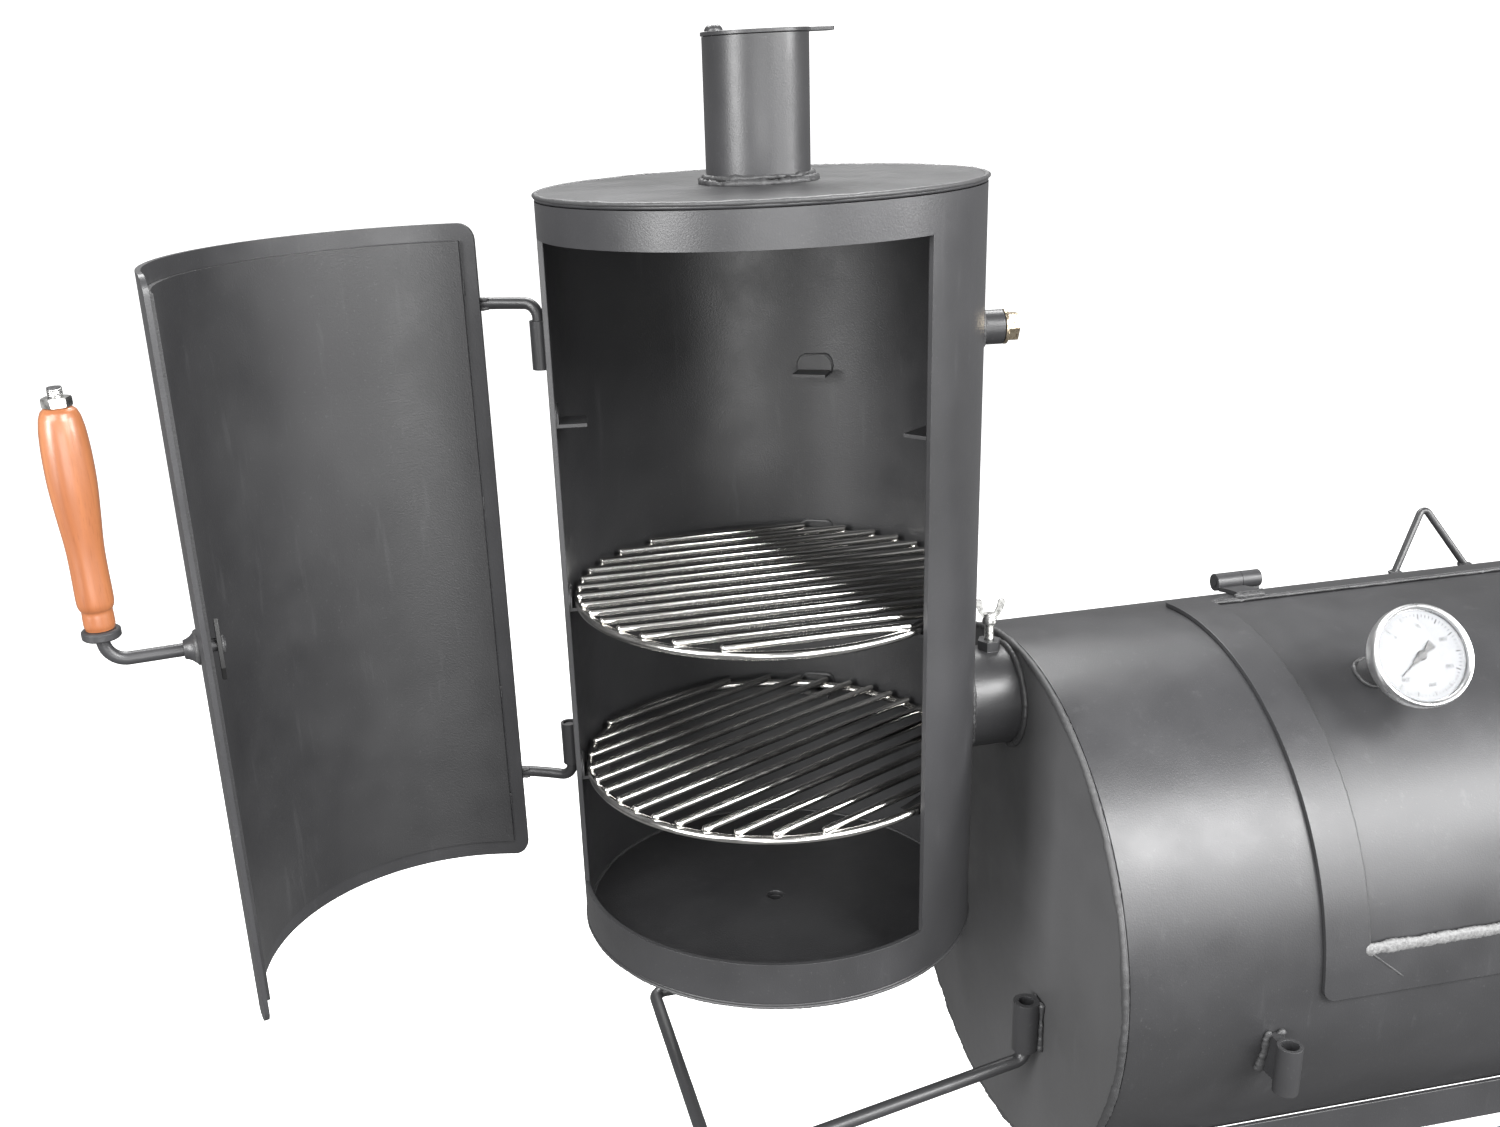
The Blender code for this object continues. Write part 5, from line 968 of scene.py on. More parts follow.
# ------------------------------------------------------------------ pipe between tower and chamber
def build_connection():
    axis = along((0, 0, STUB_Z), (1, 0, 0))
    pipe = ring(STUB_R - 0.004, STUB_R, TOWER_R - 0.012, CHAMBER_X0 - GAP, 96, axis)
    saddle = disc(TOWER_R + GAP, STUB_Z - 0.1, STUB_Z + 0.1, ROUND)
    upright = Matrix.Translation((BOLT_X, 0.0, 0.0))
    nut_top = STUB_Z + STUB_R + 0.0085
    nut = extruded(hexagon(0.0108), STUB_Z + STUB_R - 0.003, nut_top, upright)
    bore = disc(0.0043, STUB_Z + 0.02, nut_top + 0.01, SMALL, upright)
    piece("connecting_pipe_fine", pipe, "paint", "smoker", ("connecting_pipe",), edge=0.0004,
          tools=((saddle, "DIFFERENCE"), (nut, "UNION"), (bore, "DIFFERENCE")))
    seam = []
    for k in range(180):
        a = 2.0 * math.pi * k / 180
        y = (STUB_R + 0.0012) * math.cos(a)
        z = (STUB_R + 0.0012) * math.sin(a)
        seam.append(Vector((math.sqrt((TOWER_R + 0.0016) ** 2 - y * y), y, STUB_Z + z)))
    weld("pipe_weld_tower", seam, "smoker", radius=0.0034, closed=True, rough=0.28, seed=24.0)
    weld("pipe_weld_chamber", circle(STUB_R + 0.0010, CHAMBER_X0 - 0.0016, 180, axis), "smoker",
         radius=0.0036, closed=True, rough=0.28, seed=25.0)
    inner = [Vector((math.sqrt((TOWER_IN - 0.001) ** 2 - p.y * p.y), p.y, p.z)) for p in
             [Vector((0.0, 0.0425 * math.cos(2.0 * math.pi * k / 140),
                      STUB_Z + 0.0425 * math.sin(2.0 * math.pi * k / 140))) for k in range(140)]]
    weld("pipe_weld_inside", inner, "smoker", radius=0.0030, closed=True, rough=0.4, seed=26.0)

    hub = nut_top + 0.016
    shank_low = STUB_Z + STUB_R - 0.008
    bolt = turned([(0.0, shank_low), (0.0039, shank_low), (0.0039, hub), (0.0066, hub),
                   (0.0068, hub + 0.001), (0.0056, hub + 0.008), (0.0048, hub + 0.009),
                   (0.0, hub + 0.009)], SMALL, upright)
    turned_to = Matrix.Translation((BOLT_X, 0.0, hub)) @ Matrix.Rotation(math.radians(-12.0), 4, "Z")
    turned_to = turned_to @ Matrix.Rotation(math.radians(90.0), 4, "X")
    half = [(0.0030, 0.0015), (0.0072, 0.0060), (0.0105, 0.0110)]
    for k in range(9):
        a = math.radians(-40.0 + 220.0 * k / 8)
        half.append((0.0103 + 0.0034 * math.cos(a), 0.0192 + 0.0034 * math.sin(a)))
    half += [(0.0064, 0.0150), (0.0034, 0.0085)]
    outline = half + [(-x, y) for x, y in reversed(half)]
    wings = extruded(outline, -0.0015, 0.0015, turned_to)
    piece("wing_bolt_fine", bolt, "zinc", "clamp_bolt", ("wing_bolt",), edge=0.0005,
          tools=((wings, "UNION"),))
    thread = [Vector((BOLT_X + 0.0038 * math.cos(t), 0.0038 * math.sin(t),
                      nut_top + 0.0006 + 0.00125 * t / (2.0 * math.pi)))
              for t in [2.0 * math.pi * k / 16 for k in range(190)]]
    piece("wing_bolt_thread", rod(thread, 0.00048, 6), "zinc", "clamp_bolt", edge=0.0, smooth=60.0)


# ------------------------------------------------------------------ cooking chamber
def build_chamber():
    lap = math.degrees(LID_LAP / CHAMBER_R)
    a0, a1 = LID_LOW + lap, LID_HIGH - lap
    x0, x1 = LID_X0 + LID_LAP, LID_X1 - LID_LAP
    angles = angle_steps(a0, a0 + 360.0, 2.5, (a1,))[:-1]
    levels = (CHAMBER_X0 + PLATE + GAP, x0, x1, CHAMBER_X1 - PLATE - GAP)

    def keep(i, j):
        return not (j == 1 and a0 <= angles[i] < a1 - 0.01)

    barrel = curved_sheet(CHAMBER_IN, CHAMBER_R, angles, lambda a: levels, keep, CHAMBER, True)
    piece("chamber_barrel_fine", barrel, "paint", "smoker", ("chamber_barrel",), edge=0.0007)
    hole = STUB_R - 0.004
    # the left end cap is painted lighter than the right one: painted light on the face turned towards the
    # left
    left = disc(CHAMBER_R, CHAMBER_X0, CHAMBER_X0 + PLATE, ROUND, CHAMBER)
    cut = disc(hole, CHAMBER_X0 - 0.02, CHAMBER_X0 + 0.02, 48, along((0, 0, STUB_Z), (1, 0, 0)))
    piece("chamber_end_left_fine", left, "end", "smoker", ("chamber_end_left",), edge=0.0012,
          tools=((cut, "DIFFERENCE"),))
    right = disc(CHAMBER_R, CHAMBER_X1 - PLATE, CHAMBER_X1, ROUND, CHAMBER)
    cut = disc(SMOKE_HOLE_R, CHAMBER_X1 - 0.03, CHAMBER_X1 + 0.03, 72,
               along((0, 0, SMOKE_HOLE_Z), (1, 0, 0)))
    piece("chamber_end_right_fine", right, "paint", "smoker", ("chamber_end_right",), edge=0.0012,
          tools=((cut, "DIFFERENCE"),))
    weld("chamber_weld_left", circle(CHAMBER_R - 0.0016, CHAMBER_X0 + 0.0018, 620, CHAMBER), "smoker",
         radius=0.0037, closed=True, rough=0.22, seed=30.0, finish="worn_weld", sides=12)
    weld("chamber_weld_right", circle(CHAMBER_R - 0.0016, CHAMBER_X1 - 0.0018, 620, CHAMBER),
         "smoker", radius=0.0037, closed=True, rough=0.22, seed=31.0, finish="worn_weld", sides=12)
    for node in ("chamber_grate_left", "chamber_grate_right"):
        build_bar_grate(node)


def build_bar_grate(node):
    """Two side rails under a row of round bars with domed ends."""
    body = "left_grate" if node.endswith("left") else "right_grate"
    low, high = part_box(node)
    rail = 0.004
    x0, x1 = low.x + rail, high.x - rail
    y = high.y - 0.004
    for k, side in enumerate((-1.0, 1.0)):
        bm = rod([Vector((x0 - 0.002, side * y, low.z + rail)),
                  Vector((x1 + 0.002, side * y, low.z + rail))], rail, 16, dome=0.5)
        piece("%s_rail_%d" % (node, k), bm, "stainless", body, (node,),
              Matrix.Identity(4), edge=0.0, smooth=60.0)
    count = 18
    for k in range(count):
        x = x0 + 0.008 + (x1 - x0 - 0.016) * k / (count - 1)
        bm = rod([Vector((x, -y, high.z - 0.003)), Vector((x, y, high.z - 0.003))], 0.003, 14,
                 dome=0.7)
        piece("%s_bar_%02d" % (node, k), bm, "stainless", body, (node,), Matrix.Identity(4),
              edge=0.0, smooth=60.0)


# ------------------------------------------------------------------ chamber lid
def build_lid():
    lap = math.degrees(LID_LAP / CHAMBER_R)
    kerf = math.degrees(KERF / CHAMBER_R)
    a0, a1 = LID_LOW + lap + kerf, LID_HIGH - lap - kerf
    x0, x1 = LID_X0 + LID_LAP + KERF, LID_X1 - LID_LAP - KERF
    centre = CHAMBER @ polar(CHAMBER_R, THERMO_ANGLE, THERMO_X)
    rise, turn = math.radians(THERMO_RISE), math.radians(THERMO_TURN)
    out = Vector((-math.sin(turn) * math.cos(rise), -math.cos(turn) * math.cos(rise),
                  math.sin(rise)))
    dial = along(centre, out, up=(1.0, 0.0, 0.0))
    panel = ring(CHAMBER_IN, CHAMBER_R, x0, x1, 44, CHAMBER, a0, a1 - a0)
    piece("lid_panel_fine", panel, "paint", "lid", ("lid_panel",), edge=0.0005,
          tools=((disc(0.0091, -0.02, 0.02, SMALL, dial), "DIFFERENCE"),))
    strip_in = CHAMBER_R + GAP
    strip_out = strip_in + STRIP
    width = math.degrees(STRIP_WIDTH / CHAMBER_R)
    outer = (LID_LOW, LID_HIGH, LID_X0, LID_X1)
    top_width = math.degrees(LID_TOP_STRIP / CHAMBER_R)
    window = (LID_LOW + width, LID_HIGH - top_width, LID_X0 + STRIP_WIDTH, LID_X1 - STRIP_WIDTH)
    piece("lid_frame_strips_fine",
          frame_sheet(strip_in, strip_out, outer, window, 0.012, 2.5, CHAMBER), "paint", "lid",
          ("lid_frame_strips",), edge=0.0009)

    # the window's inner edge is welded to the panel: heavy along the low side, light elsewhere
    radial = chamber_out
    low = [CHAMBER @ polar(CHAMBER_R + 0.0030, window[0] + 0.45, x)
           for x in steps_between(window[2] + 0.001, window[3] - 0.001, 0.0016)]
    weld("lid_weld_low", low, "lid", radius=0.0056, rough=0.15, seed=40.0, up=radial,
         finish="bright_weld", sides=12, squash=0.5)
    high = [CHAMBER @ polar(CHAMBER_R + 0.0020, window[1], x)
            for x in steps_between(window[2], window[3], 0.002)]
    weld("lid_weld_high", high, "lid", radius=0.0024, rough=0.25, seed=41.0, up=radial)
    for k, x in enumerate((window[2], window[3])):
        side = [CHAMBER @ polar(CHAMBER_R + 0.0020, a, x)
                for a in steps_between(window[0], window[1], 0.45)]
        weld("lid_weld_side_%d" % k, side, "lid", radius=0.0021, rough=0.22, seed=42.0 + k,
             up=radial)
    # short thin beads from the window's corners across the strips
    for k, (a, b) in enumerate(((window[0], outer[0]), (window[1], outer[1]))):
        for m, (x, y) in enumerate(((window[2], outer[2]), (window[3], outer[3]))):
            path = [CHAMBER @ polar(strip_out - 0.0001, a + (b - a) * s / 24 * 0.66,
                                    x + (x - y) * s / 24 * 0.80) for s in range(25)]
            weld("lid_mitre_%d%d" % (k, m), path, "lid", radius=0.0009, rough=0.3,
                 seed=44.0 + 2 * k + m, up=radial, squash=0.6)

    for side, near, step in (("left", LID_X0 + LID_HINGE_INSET, 1.0),
                             ("right", LID_X1 - LID_HINGE_INSET, -1.0)):
        build_lid_hinge(side, near, step, strip_out, top_width)
    build_stop_rod()
    build_lid_handle()
    build_thermometer(dial)


def chamber_out(point):
    """Outward direction of the chamber's wall at a point in the tower's own frame."""
    return Vector((0.0, point.y, point.z - CHAMBER_Z))


def steps_between(first, final, step):
    count = max(2, int(abs(final - first) / step))
    return [first + (final - first) * k / count for k in range(count + 1)]


def build_lid_hinge(side, near, step, strip_out, width):
    """Leaf and knuckle on the lid, pin and bracket on the barrel, each with a short weld."""
    knuckle_r, pin_r = 0.0085, 0.0040
    knuckle = CHAMBER @ Matrix.Translation(polar(LID_HINGE_RADIUS, LID_HINGE_ANGLE, 0.0))
    far = near + step * 0.026
    low, high = min(near, far), max(near, far)
    name = "lid_hinge_leaf_" + side
    leaf = ring(pin_r + GAP, knuckle_r, low, high, 40, knuckle)
    strap = ring(strip_out + GAP, strip_out + GAP + 0.004, low + 0.0005, high - 0.0005, 10, CHAMBER,
                 LID_HIGH - width + 1.0, LID_HINGE_ANGLE - 1.4 - LID_HIGH + width - 1.0)
    bore = disc(pin_r + GAP, low - 0.01, high + 0.01, SMALL, knuckle)
    piece(name + "_fine", leaf, "paint", "lid", (name,), edge=0.0008,
          tools=((strap, "UNION"), (bore, "DIFFERENCE")))
    end = [CHAMBER @ polar(strip_out + 0.0008, LID_HIGH - width + 0.6, x)
           for x in steps_between(low, high, 0.0016)]
    weld(name + "_weld", end, "lid", radius=0.0032, rough=0.3, seed=50.0 + step, up=chamber_out)
    start = far + step * GAP
    final = start + step * 0.020
    low, high = min(start, final), max(start, final)
    reach = near - step * 0.0005
    inside = final - step * 0.003
    name = "lid_hinge_bracket_" + side
    bracket = disc(knuckle_r, low, high, 40, knuckle)
    pin = disc(pin_r, min(reach, inside), max(reach, inside), SMALL, knuckle)
    foot = ring(CHAMBER_R + GAP, CHAMBER_R + 0.008, low + 0.0005, high - 0.0005, 4, CHAMBER,
                LID_HINGE_ANGLE - 0.6, 2.2)
    piece(name + "_fine", bracket, "paint", "smoker", (name,), edge=0.0009,
          tools=((pin, "UNION"), (foot, "UNION")))
    for k, a in enumerate((LID_HINGE_ANGLE - 1.1, LID_HINGE_ANGLE + 2.1)):
        seam = [CHAMBER @ polar(CHAMBER_R + 0.0012, a, x) for x in steps_between(low, high, 0.0016)]
        weld("%s_weld_%d" % (name, k), seam, "smoker", radius=0.0030, rough=0.35,
             seed=52.0 + step + k, up=chamber_out)


def build_stop_rod():
    low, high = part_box("lid_stop_rod")
    r = 0.0036
    middle = (low.x + high.x) / 2.0 - TOWER_X
    foot_angle = 90.0 + math.degrees(math.asin(STOP_FOOT_Y / CHAMBER_R))
    foot = CHAMBER @ polar(CHAMBER_R + GAP + 0.0016, foot_angle, middle)
    spread = Vector((0.041, 0.0, 0.0))
    apex = Vector((middle, foot.y + 0.0225, CHAMBER_Z + 0.288))
    path = rounded([foot - spread, apex, foot + spread], 0.006, 12)
    piece("lid_stop_rod_fine", rod(path, r, 24), "paint", "smoker", ("lid_stop_rod",), edge=0.0,
          smooth=40.0)
    for k, side in enumerate((-1.0, 1.0)):
        base = foot + spread * side
        seam = [base + Vector((0.0044 * math.cos(t), 0.0044 * math.sin(t), 0.0004))
                for t in [2.0 * math.pi * s / 30 for s in range(30)]]
        weld("stop_rod_weld_%d" % k, seam, "smoker", radius=0.0026, closed=True, rough=0.3,
             seed=56.0 + k)


def build_lid_handle():
    angle = 24.0
    seat = CHAMBER_R + GAP
    reach = seat + 0.070
    low, high = LID_MIDDLE - 0.125, LID_MIDDLE + 0.125
    corners = [CHAMBER @ polar(seat + 0.0002, angle, low), CHAMBER @ polar(reach, angle, low),
               CHAMBER @ polar(reach, angle, high), CHAMBER @ polar(seat + 0.0002, angle, high)]
    piece("lid_handle_bar_fine", rod(rounded(corners, 0.018, 12), ROD_R, 24), "paint", "lid",
          ("lid_handle_bar",), edge=0.0, smooth=40.0)
    place = along(CHAMBER @ polar(reach, angle, LID_MIDDLE - GRIP_LENGTH / 2.0), (1, 0, 0))
    piece("lid_handle_grip_fine", grip_shape(place), "wood_lengthwise", "lid",
          ("lid_handle_grip",), edge=0.0)
    for k, x in enumerate((low, high)):
        base = along(CHAMBER @ polar(seat + 0.0006, angle, x),
                     CHAMBER.to_3x3() @ polar(1.0, angle), up=(1.0, 0.0, 0.0))
        weld("lid_handle_weld_%d" % k, circle(ROD_R + 0.0006, 0.0, 34, base), "lid", radius=0.0028,
             closed=True, rough=0.28, seed=58.0 + k)


def build_thermometer(dial):
    """Stem through the lid, threaded neck, dished back, bezel, printed dial, pointer and lens."""
    profile = [(0.0, -0.070), (0.0030, -0.070), (0.0030, -0.014), (0.0085, -0.014),
               (0.0085, 0.0550), (0.0100, 0.0566), (0.0200, 0.0585), (0.0300, 0.0618),
               (0.0390, 0.0660), (0.0424, 0.0690), (0.0436, 0.0730), (0.0440, 0.0795),
               (0.0438, 0.0816), (0.0428, 0.0831), (0.0414, 0.0836), (0.0401, 0.0831),
               (0.0392, 0.0820), (0.0392, 0.0770), (0.0014, 0.0770), (0.0014, 0.0730),
               (0.0, 0.0730)]
    coupling = turned([(0.0075, -0.012), (0.0128, -0.012), (0.0128, 0.0418), (0.0118, 0.0430),
                       (0.0075, 0.0430)], 64, dial)
    saddle = disc(CHAMBER_R + GAP, LID_X0, LID_X1, ROUND, CHAMBER)
    piece("thermometer_case_fine", turned(profile, 96, dial), "chrome", "lid",
          ("thermometer_case",), edge=0.0, smooth=35.0)
    piece("thermometer_coupling", coupling, "weld", "lid", (), edge=0.0, smooth=35.0,
          tools=((saddle, "DIFFERENCE"),))
    seam = []
    stem = dial.to_3x3() @ Vector((0.0, 0.0, 1.0))
    for k in range(60):
        spot = dial @ polar(0.0134, 6.0 * k)
        # slide each point along the stem until it meets the lid
        for _ in range(4):
            outward = chamber_out(spot)
            short = CHAMBER_R + 0.0012 - outward.length
            spot = spot + stem * (short / stem.dot(outward.normalized()))
        seam.append(spot)
    weld("thermometer_weld", seam, "lid", radius=0.0024, closed=True, rough=0.3, seed=59.0)
    face = turned([(0.0016, 0.0774), (0.0388, 0.0774), (0.0388, 0.0782), (0.0016, 0.0782)], 96, dial)
    piece("thermometer_dial_fine", face, "dial", "lid", ("thermometer_dial",), edge=0.0)

    first, final = 225.0, -45.0
    ticks = bmesh.new()
    count = 50
    for k in range(count + 1):
        turn = math.radians(first + (final - first) * k / count)
        spin = dial @ Matrix.Rotation(turn, 4, "Z")
        long = k % 5 == 0
        inner = 0.0310 if long else 0.0330
        thick = 0.00055 if long else 0.00028
        prism(ticks, [(inner, -thick), (0.0352, -thick), (0.0352, thick), (inner, thick)],
              0.0782, 0.07832, spin)
    piece("thermometer_ticks", ticks, "ink", "lid", (), edge=0.0)
    for k in range(0, count + 1, 10):
        turn = math.radians(first + (final - first) * k / count)
        spot = Vector((0.0255 * math.cos(turn), 0.0255 * math.sin(turn), 0.0))
        number = bpy.data.curves.new("dial_number_%d" % k, "FONT")
        number.body = str(50 * k // 10)
        number.size = 0.0050
        number.align_x = "CENTER"
        number.align_y = "CENTER"
        number.extrude = 0.00006
        number.materials.append(FINISH["ink"].material)
        shown = bpy.data.objects.new("dial_number_%02d" % k, number)
        bpy.context.scene.collection.objects.link(shown)
        shown.matrix_world = (HOME @ dial @ Matrix.Translation(spot + Vector((0, 0, 0.0783)))
                              @ Matrix.Rotation(-math.pi / 2.0, 4, "Z"))
        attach(shown, "lid")

    hub = turned([(0.0, 0.0734), (0.0009, 0.0734), (0.0009, 0.0790), (0.0038, 0.0790),
                  (0.0041, 0.0793), (0.0041, 0.0799), (0.0035, 0.0802), (0.0, 0.0803)], SMALL, dial)
    # broad tail fin, narrow waist, then a thin tip that rests at the low end of the scale
    tip = dial @ Matrix.Rotation(math.radians(216.0), 4, "Z")
    needle = extruded([(-0.0042, -0.0140), (0.0042, -0.0140), (0.0016, -0.0040), (0.0022, 0.0045),
                       (0.0022, 0.0080), (0.0006, 0.0105), (0.0003, 0.0260), (-0.0003, 0.0260),
                       (-0.0006, 0.0105), (-0.0022, 0.0080), (-0.0022, 0.0045),
                       (-0.0016, -0.0040)], 0.0792, 0.0799, tip)
    piece("thermometer_pointer_fine", hub, "ink", "pointer", ("thermometer_pointer",), edge=0.0002,
          tools=((needle, "UNION"),))
    dome = [(0.0394 * math.sin(a), 0.0808 + 0.0022 * math.cos(a))
            for a in [math.pi / 2.0 * k / 10 for k in range(1, 11)]]
    under = [(r, z - 0.0007) for r, z in reversed(dome)]
    lens = turned([(0.0, 0.0830)] + dome + under + [(0.0, 0.0823)], 96, dial)
    piece("thermometer_lens", lens, "glass", "lid", (), edge=0.0, smooth=60.0)


# ------------------------------------------------------------------ sockets and pull bar
def build_sockets():
    r_bar = 0.0065
    outer = 0.0120
    x = CHAMBER_X0 - outer - 0.002
    z0, z1 = 0.7840, 0.8355
    for name, sign in (("pull_bar_socket_front", -1.0), ("pull_bar_socket_rear", 1.0)):
        y = sign * 0.1035
        tube = ring(r_bar + GAP, outer, z0, z1, 48, Matrix.Translation((x, y, 0.0)))
        web = bmesh.new()
        block(web, (x + outer - 0.003, y - 0.005, z0 + 0.003), (CHAMBER_X0 - GAP, y + 0.005, z1 - 0.003))
        piece(name + "_fine", tube, "paint", "smoker", (name,), edge=0.0012,
              tools=((web, "UNION"),))
        for k, offset in enumerate((-0.0072, 0.0072)):
            path = line((CHAMBER_X0 - 0.0022, y + offset, z0 + 0.002),
                        (CHAMBER_X0 - 0.0022, y + offset, z1 - 0.003))
            weld("%s_weld_%d" % (name, k), path, "smoker", radius=0.0036, rough=0.35,
                 seed=60.0 + sign + k, up=lambda p: Vector((-1.0, 0.0, 0.0)))
    low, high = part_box("pull_bar")
    bar_x = low.x + r_bar - TOWER_X
    half = high.y - r_bar
    top, knee = z1 - 0.012, z0 - 0.012
    corners = [(x, -0.1035, top), (x, -0.1035, knee), (bar_x, -half, 0.7391), (bar_x, half, 0.7391),
               (x, 0.1035, knee), (x, 0.1035, top)]
    piece("pull_bar_fine", rod(rounded(corners, 0.011, 9), r_bar, 24), "paint", "smoker",
          ("pull_bar",), edge=0.0, smooth=40.0)

    for name, side in (("shelf_socket_left", -1.0), ("shelf_socket_right", 1.0)):
        low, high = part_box(name)
        px = (low.x + high.x) / 2.0 - TOWER_X
        place = Matrix.Translation((px, -0.2765, 0.0))
        tube = ring(0.0072, 0.0105, low.z, high.z, 48, place)
        web = bmesh.new()
        block(web, (px - 0.0045, -0.2680, low.z + 0.003), (px + 0.0045, -0.2400, high.z - 0.003))
        barrel = disc(CHAMBER_R + GAP, px - 0.03, px + 0.03, ROUND, CHAMBER)
        piece(name + "_fine", tube, "paint", "smoker", (name,), edge=0.0007,
              tools=((web, "UNION"), (barrel, "DIFFERENCE")))
        for k, offset in enumerate((-0.0062, 0.0062)):
            path = []
            for z in steps_between(low.z + 0.004, high.z - 0.003, 0.0015):
                y = -math.sqrt((CHAMBER_R + 0.0018) ** 2 - (z - CHAMBER_Z) ** 2)
                path.append(Vector((px + offset, y, z)))
            weld("%s_weld_%d" % (name, k), path, "smoker", radius=0.0036, rough=0.4,
                 seed=64.0 + side + k, up=chamber_out,
                 finish="worn_weld" if k == 0 else "weld")


# ------------------------------------------------------------------ firebox, wheels and stand
def build_firebox():
    axis = along((0, 0, FIREBOX_Z), (1, 0, 0))
    hole = disc(SMOKE_HOLE_R, FIREBOX_X0 - 0.03, FIREBOX_X0 + 0.03, 72,
                along((0, 0, SMOKE_HOLE_Z), (1, 0, 0)))
    x1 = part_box("firebox_shell")[1].x - TOWER_X + PLATE + GAP
    piece("firebox_inner_end_fine", disc(CHAMBER_R, FIREBOX_X0, FIREBOX_X0 + PLATE, ROUND, axis),
          "paint", "smoker", ("firebox_inner_end",), edge=0.0012, tools=((hole, "DIFFERENCE"),))
    shell = ring(CHAMBER_R - 0.006, CHAMBER_R, FIREBOX_X0 + PLATE + GAP, x1 - PLATE - GAP, ROUND, axis)
    piece("firebox_shell_fine", shell, "paint", "smoker", ("firebox_shell",))
    for k, x in enumerate((FIREBOX_X0 + 0.0018, x1 - 0.0018)):
        weld("firebox_weld_%d" % k, circle(CHAMBER_R - 0.0016, x, 560, axis), "smoker",
             radius=0.0036, closed=True, rough=0.22, seed=70.0 + k, finish="worn_weld")
    # seam where the firebox plate meets the chamber end, over the part both share
    meet = (FIREBOX_Z + CHAMBER_Z) / 2.0
    half = math.sqrt(CHAMBER_R ** 2 - ((CHAMBER_Z - FIREBOX_Z) / 2.0) ** 2)
    spread = math.degrees(math.atan2(meet - FIREBOX_Z, half))
    for k, (centre, start) in enumerate(((FIREBOX_Z, spread), (CHAMBER_Z, spread + 180.0))):
        x = FIREBOX_X0 - 0.001 if k == 0 else FIREBOX_X0 + 0.0008
        path = []
        for a in steps_between(start, start + 180.0 - 2.0 * spread, 0.4):
            path.append(Vector((x, -(CHAMBER_R + 0.0004) * math.cos(math.radians(a)),
                                centre + (CHAMBER_R + 0.0004) * math.sin(math.radians(a)))))
        weld("firebox_join_weld_%d" % k, path, "smoker", radius=0.0040, rough=0.28, seed=72.0 + k,
             up=lambda p: Vector((-1.0, 0.0, 0.0)))


def build_wheels():
    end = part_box("axle")[1].y
    axle_r = 0.012
    cap = 0.020
    line_up = along((WHEEL_X, 0.0, WHEEL_R), (0, 1, 0))
    inner = end - 0.060
    half = [(axle_r, inner), (cap, inner), (cap, inner + 0.006), (axle_r, inner + 0.006),
            (axle_r, end - 0.006), (cap, end - 0.006), (cap, end - 0.0015), (cap - 0.002, end)]
    other = [(r, -z) for r, z in reversed(half)]
    piece("axle_fine", turned([(0.0, -end)] + other + half + [(0.0, end)], 48, line_up), "paint",
          "smoker", ("axle",), edge=0.0006)
    for name, body, sign in (("wheel_front", "wheel_f", -1.0), ("wheel_rear", "wheel_r", 1.0)):
        place = along((WHEEL_X, sign * WHEEL_Y, WHEEL_R), (0, 1, 0))
        rim = ring(WHEEL_R - 0.010, WHEEL_R, -0.025, 0.025, 120, place)
        piece(name + "_rim", rim, "paint", body, (name,), edge=0.0022)
        hub = turned([(axle_r + GAP, -0.022), (0.0245, -0.022), (0.026, -0.0205), (0.026, 0.0205),
                      (0.0245, 0.022), (axle_r + GAP, 0.022)], 64, place)
        piece(name + "_hub", hub, "paint", body, (name,), edge=0.0004)
        for k in range(6):
            a = 60.0 * k
            spoke = rod([place @ polar(0.0250, a), place @ polar(WHEEL_R - 0.0095, a)], 0.0068, 20)
            piece("%s_spoke_%d" % (name, k), spoke, "paint", body, (name,), edge=0.0)
            for m, reach in enumerate((0.0262, WHEEL_R - 0.0106)):
                spin = along(place @ polar(reach, a), place.to_3x3() @ polar(1.0, a))
                weld("%s_weld_%d%d" % (name, k, m), circle(0.0074, 0.0, 36, spin), body,
                     radius=0.0025, closed=True, rough=0.28, seed=80.0 + k + 6 * m + sign)


def dress_plain_nodes():
    """Flat-sided CAD nodes keep their own meshes, with eased edges and a painted finish."""
    # the firebox grate and chamber ledges take the inside paint, whose darker colour is painted shade
    kept = {"stand_frame": "paint", "bottom_shelf": "paint", "firebox_saddle": "paint",
            "firebox_outer_end": "paint", "firebox_door": "paint", "firebox_air_slide": "paint",
            "firebox_door_latch": "paint", "firebox_grate": "inside",
            "chamber_ledge_front": "inside", "chamber_ledge_rear": "inside"}
    for name, finish in kept.items():
        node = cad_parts[name]
        node.data.materials.clear()
        node.data.materials.append(FINISH[finish].material)
        join = node.modifiers.new("join", "WELD")
        join.merge_threshold = 0.00001
        rounding = node.modifiers.new("edge", "BEVEL")
        rounding.width = 0.0011
        rounding.segments = 2
        rounding.limit_method = "ANGLE"
        rounding.angle_limit = math.radians(35.0)
        rounding.harden_normals = True
    # welds at the stand's joints
    low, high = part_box("stand_frame")
    x0 = low.x - TOWER_X + 0.006
    out = high.y - 0.006
    for k, x in enumerate((x0, x0 + 0.050, 1.165, 1.215)):
        for m, sign in enumerate((-1.0, 1.0)):
            for n, z in enumerate((0.6862, 0.2962)):
                path = line((x, sign * (out - 0.003), z), (x, sign * (out - 0.040), z), 0.0018)
                weld("stand_weld_%d%d%d" % (k, m, n), path, "smoker", radius=0.0028, rough=0.3,
                     seed=100.0 + k + 4 * m + 8 * n)


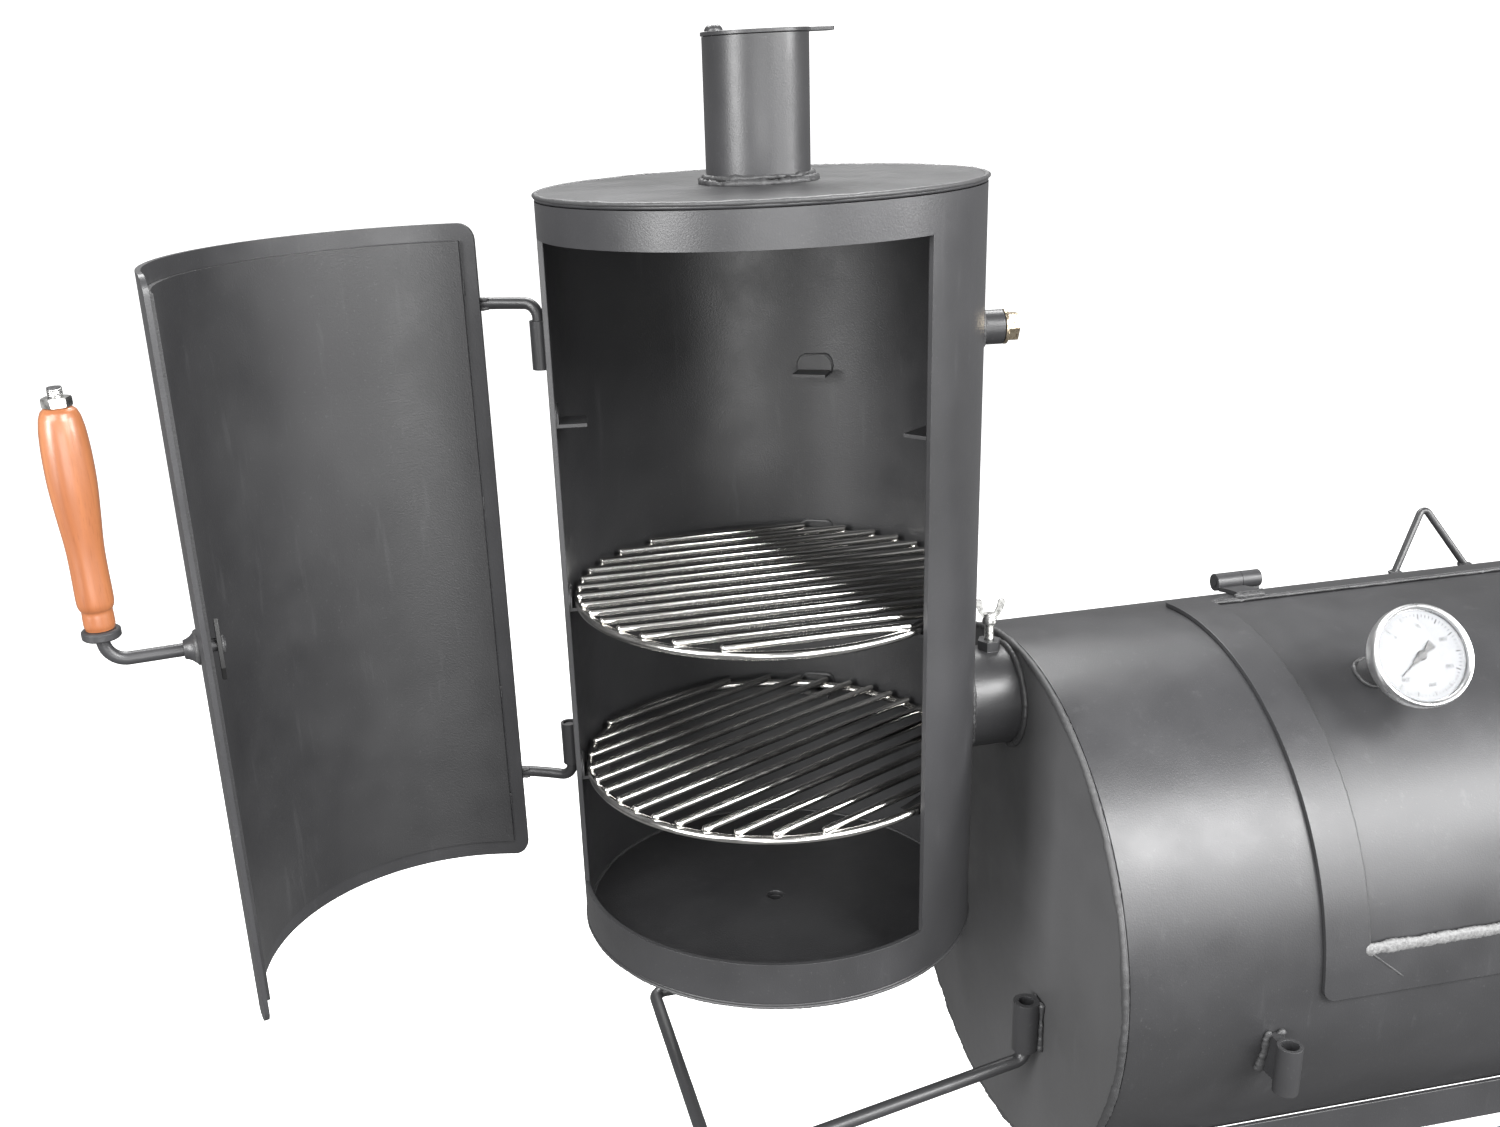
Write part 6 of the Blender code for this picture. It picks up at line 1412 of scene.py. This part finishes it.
# ------------------------------------------------------------------ stage, light and camera
def build_stage():
    bm = bmesh.new()
    steps = 24
    span, bend, wall = 9.0, 4.0, 9.0
    outline = [(-span, 0.0), (span - bend, 0.0)]
    for k in range(1, steps + 1):
        a = math.pi / 2.0 * k / steps
        outline.append((span - bend + bend * math.sin(a), bend * (1.0 - math.cos(a))))
    outline.append((span, wall))
    rows = []
    for y, z in outline:
        rows.append([bm.verts.new((x, y, z)) for x in (-14.0, 14.0)])
    for a, b in zip(rows, rows[1:]):
        bm.faces.new((a[0], a[1], b[1], b[0]))
    mesh = bpy.data.meshes.new("studio_sweep")
    bm.to_mesh(mesh)
    bm.free()
    mesh.materials.append(FINISH["floor"].material)
    mesh.shade_smooth()
    sweep_sheet = bpy.data.objects.new("studio_sweep", mesh)
    bpy.context.scene.collection.objects.link(sweep_sheet)
    sweep_sheet.visible_diffuse = False
    sweep_sheet.visible_glossy = False


def add_softbox(name, place, target, size, power):
    light = bpy.data.lights.new(name, "AREA")
    light.shape = "RECTANGLE"
    light.size, light.size_y = size
    light.energy = power
    lamp = bpy.data.objects.new(name, light)
    bpy.context.scene.collection.objects.link(lamp)
    lamp.location = place
    lamp.rotation_mode = "QUATERNION"
    lamp.rotation_quaternion = (Vector(target) - Vector(place)).to_track_quat("-Z", "Y")
    lamp.visible_camera = False


ROOM_LIGHT = 0.28            # strength of the surround as the object is lit by it
SOFTBOX_TARGET = (-0.3, 0.0, 1.0)
SOFTBOXES = (                # name, place, size in metres, power in watts
    ("softbox_front_low", (-0.9, -3.2, 1.2), (2.0, 1.2), 62.0),
    ("softbox_front_high", (0.9, -2.8, 3.3), (1.8, 1.4), 215.0),
    ("softbox_front_left", (-2.4, -2.3, 3.3), (1.6, 1.4), 95.0),
    ("softbox_front_right", (1.4, -3.0, 2.0), (1.4, 1.6), 60.0),
    ("softbox_right", (3.2, -2.0, 2.4), (1.4, 2.0), 210.0),
    ("softbox_left", (-3.4, -1.6, 2.0), (1.2, 1.8), 150.0),
    ("softbox_back", (-0.3, 1.8, 3.8), (2.4, 1.2), 160.0),
)


def build_light():
    """White surround for the camera, a dimmer one for the object, and seven large softboxes."""
    world = bpy.data.worlds.new("studio")
    world.use_nodes = True
    nodes = world.node_tree.nodes
    links = world.node_tree.links
    seen = nodes["Background"]
    seen.inputs["Color"].default_value = (1.0, 1.0, 1.0, 1.0)
    seen.inputs["Strength"].default_value = 1.0
    dim = nodes.new("ShaderNodeBackground")
    dim.inputs["Color"].default_value = (1.0, 1.0, 1.0, 1.0)
    dim.inputs["Strength"].default_value = ROOM_LIGHT
    path = nodes.new("ShaderNodeLightPath")
    mix = nodes.new("ShaderNodeMixShader")
    links.new(path.outputs["Is Camera Ray"], mix.inputs["Fac"])
    links.new(dim.outputs["Background"], mix.inputs[1])
    links.new(seen.outputs["Background"], mix.inputs[2])
    links.new(mix.outputs["Shader"], nodes["World Output"].inputs["Surface"])
    bpy.context.scene.world = world
    bpy.context.scene.view_settings.view_transform = "Standard"
    for name, place, size, power in SOFTBOXES:
        add_softbox(name, place, SOFTBOX_TARGET, size, power)


def build_camera():
    """Close view down on the tower end, turned a little towards the firebox."""
    yaw, pitch, roll = math.radians(10.15), math.radians(20.95), math.radians(-2.96)
    ahead = Vector((math.sin(yaw) * math.cos(pitch), math.cos(yaw) * math.cos(pitch),
                    -math.sin(pitch)))
    level = Vector((math.cos(yaw), -math.sin(yaw), 0.0))
    rise = level.cross(ahead)
    right = level * math.cos(roll) + rise * math.sin(roll)
    top = rise * math.cos(roll) - level * math.sin(roll)
    data = bpy.data.cameras.new("camera")
    data.sensor_width = 36.0
    data.lens = 35.95
    data.shift_x = 0.06
    data.shift_y = 0.0533
    data.clip_start = 0.05
    data.clip_end = 60.0
    camera = bpy.data.objects.new("camera", data)
    bpy.context.scene.collection.objects.link(camera)
    place = Vector((TOWER_X - 0.3122, -1.1966, TOWER_TOP + 0.0862))
    camera.matrix_world = Matrix(((right.x, top.x, -ahead.x, place.x),
                                  (right.y, top.y, -ahead.y, place.y),
                                  (right.z, top.z, -ahead.z, place.z), (0.0, 0.0, 0.0, 1.0)))
    bpy.context.scene.camera = camera


def main():
    build_tower()
    build_round_grate("tower_grate_upper", "upper_grate", "upper_grate")
    build_round_grate("tower_grate_lower", "lower_grate", "lower_grate")
    build_port()
    build_chimney()
    build_door()
    build_handle()
    build_connection()
    build_chamber()
    build_lid()
    build_sockets()
    build_firebox()
    build_wheels()
    dress_plain_nodes()
    build_stage()
    build_light()
    build_camera()


main()
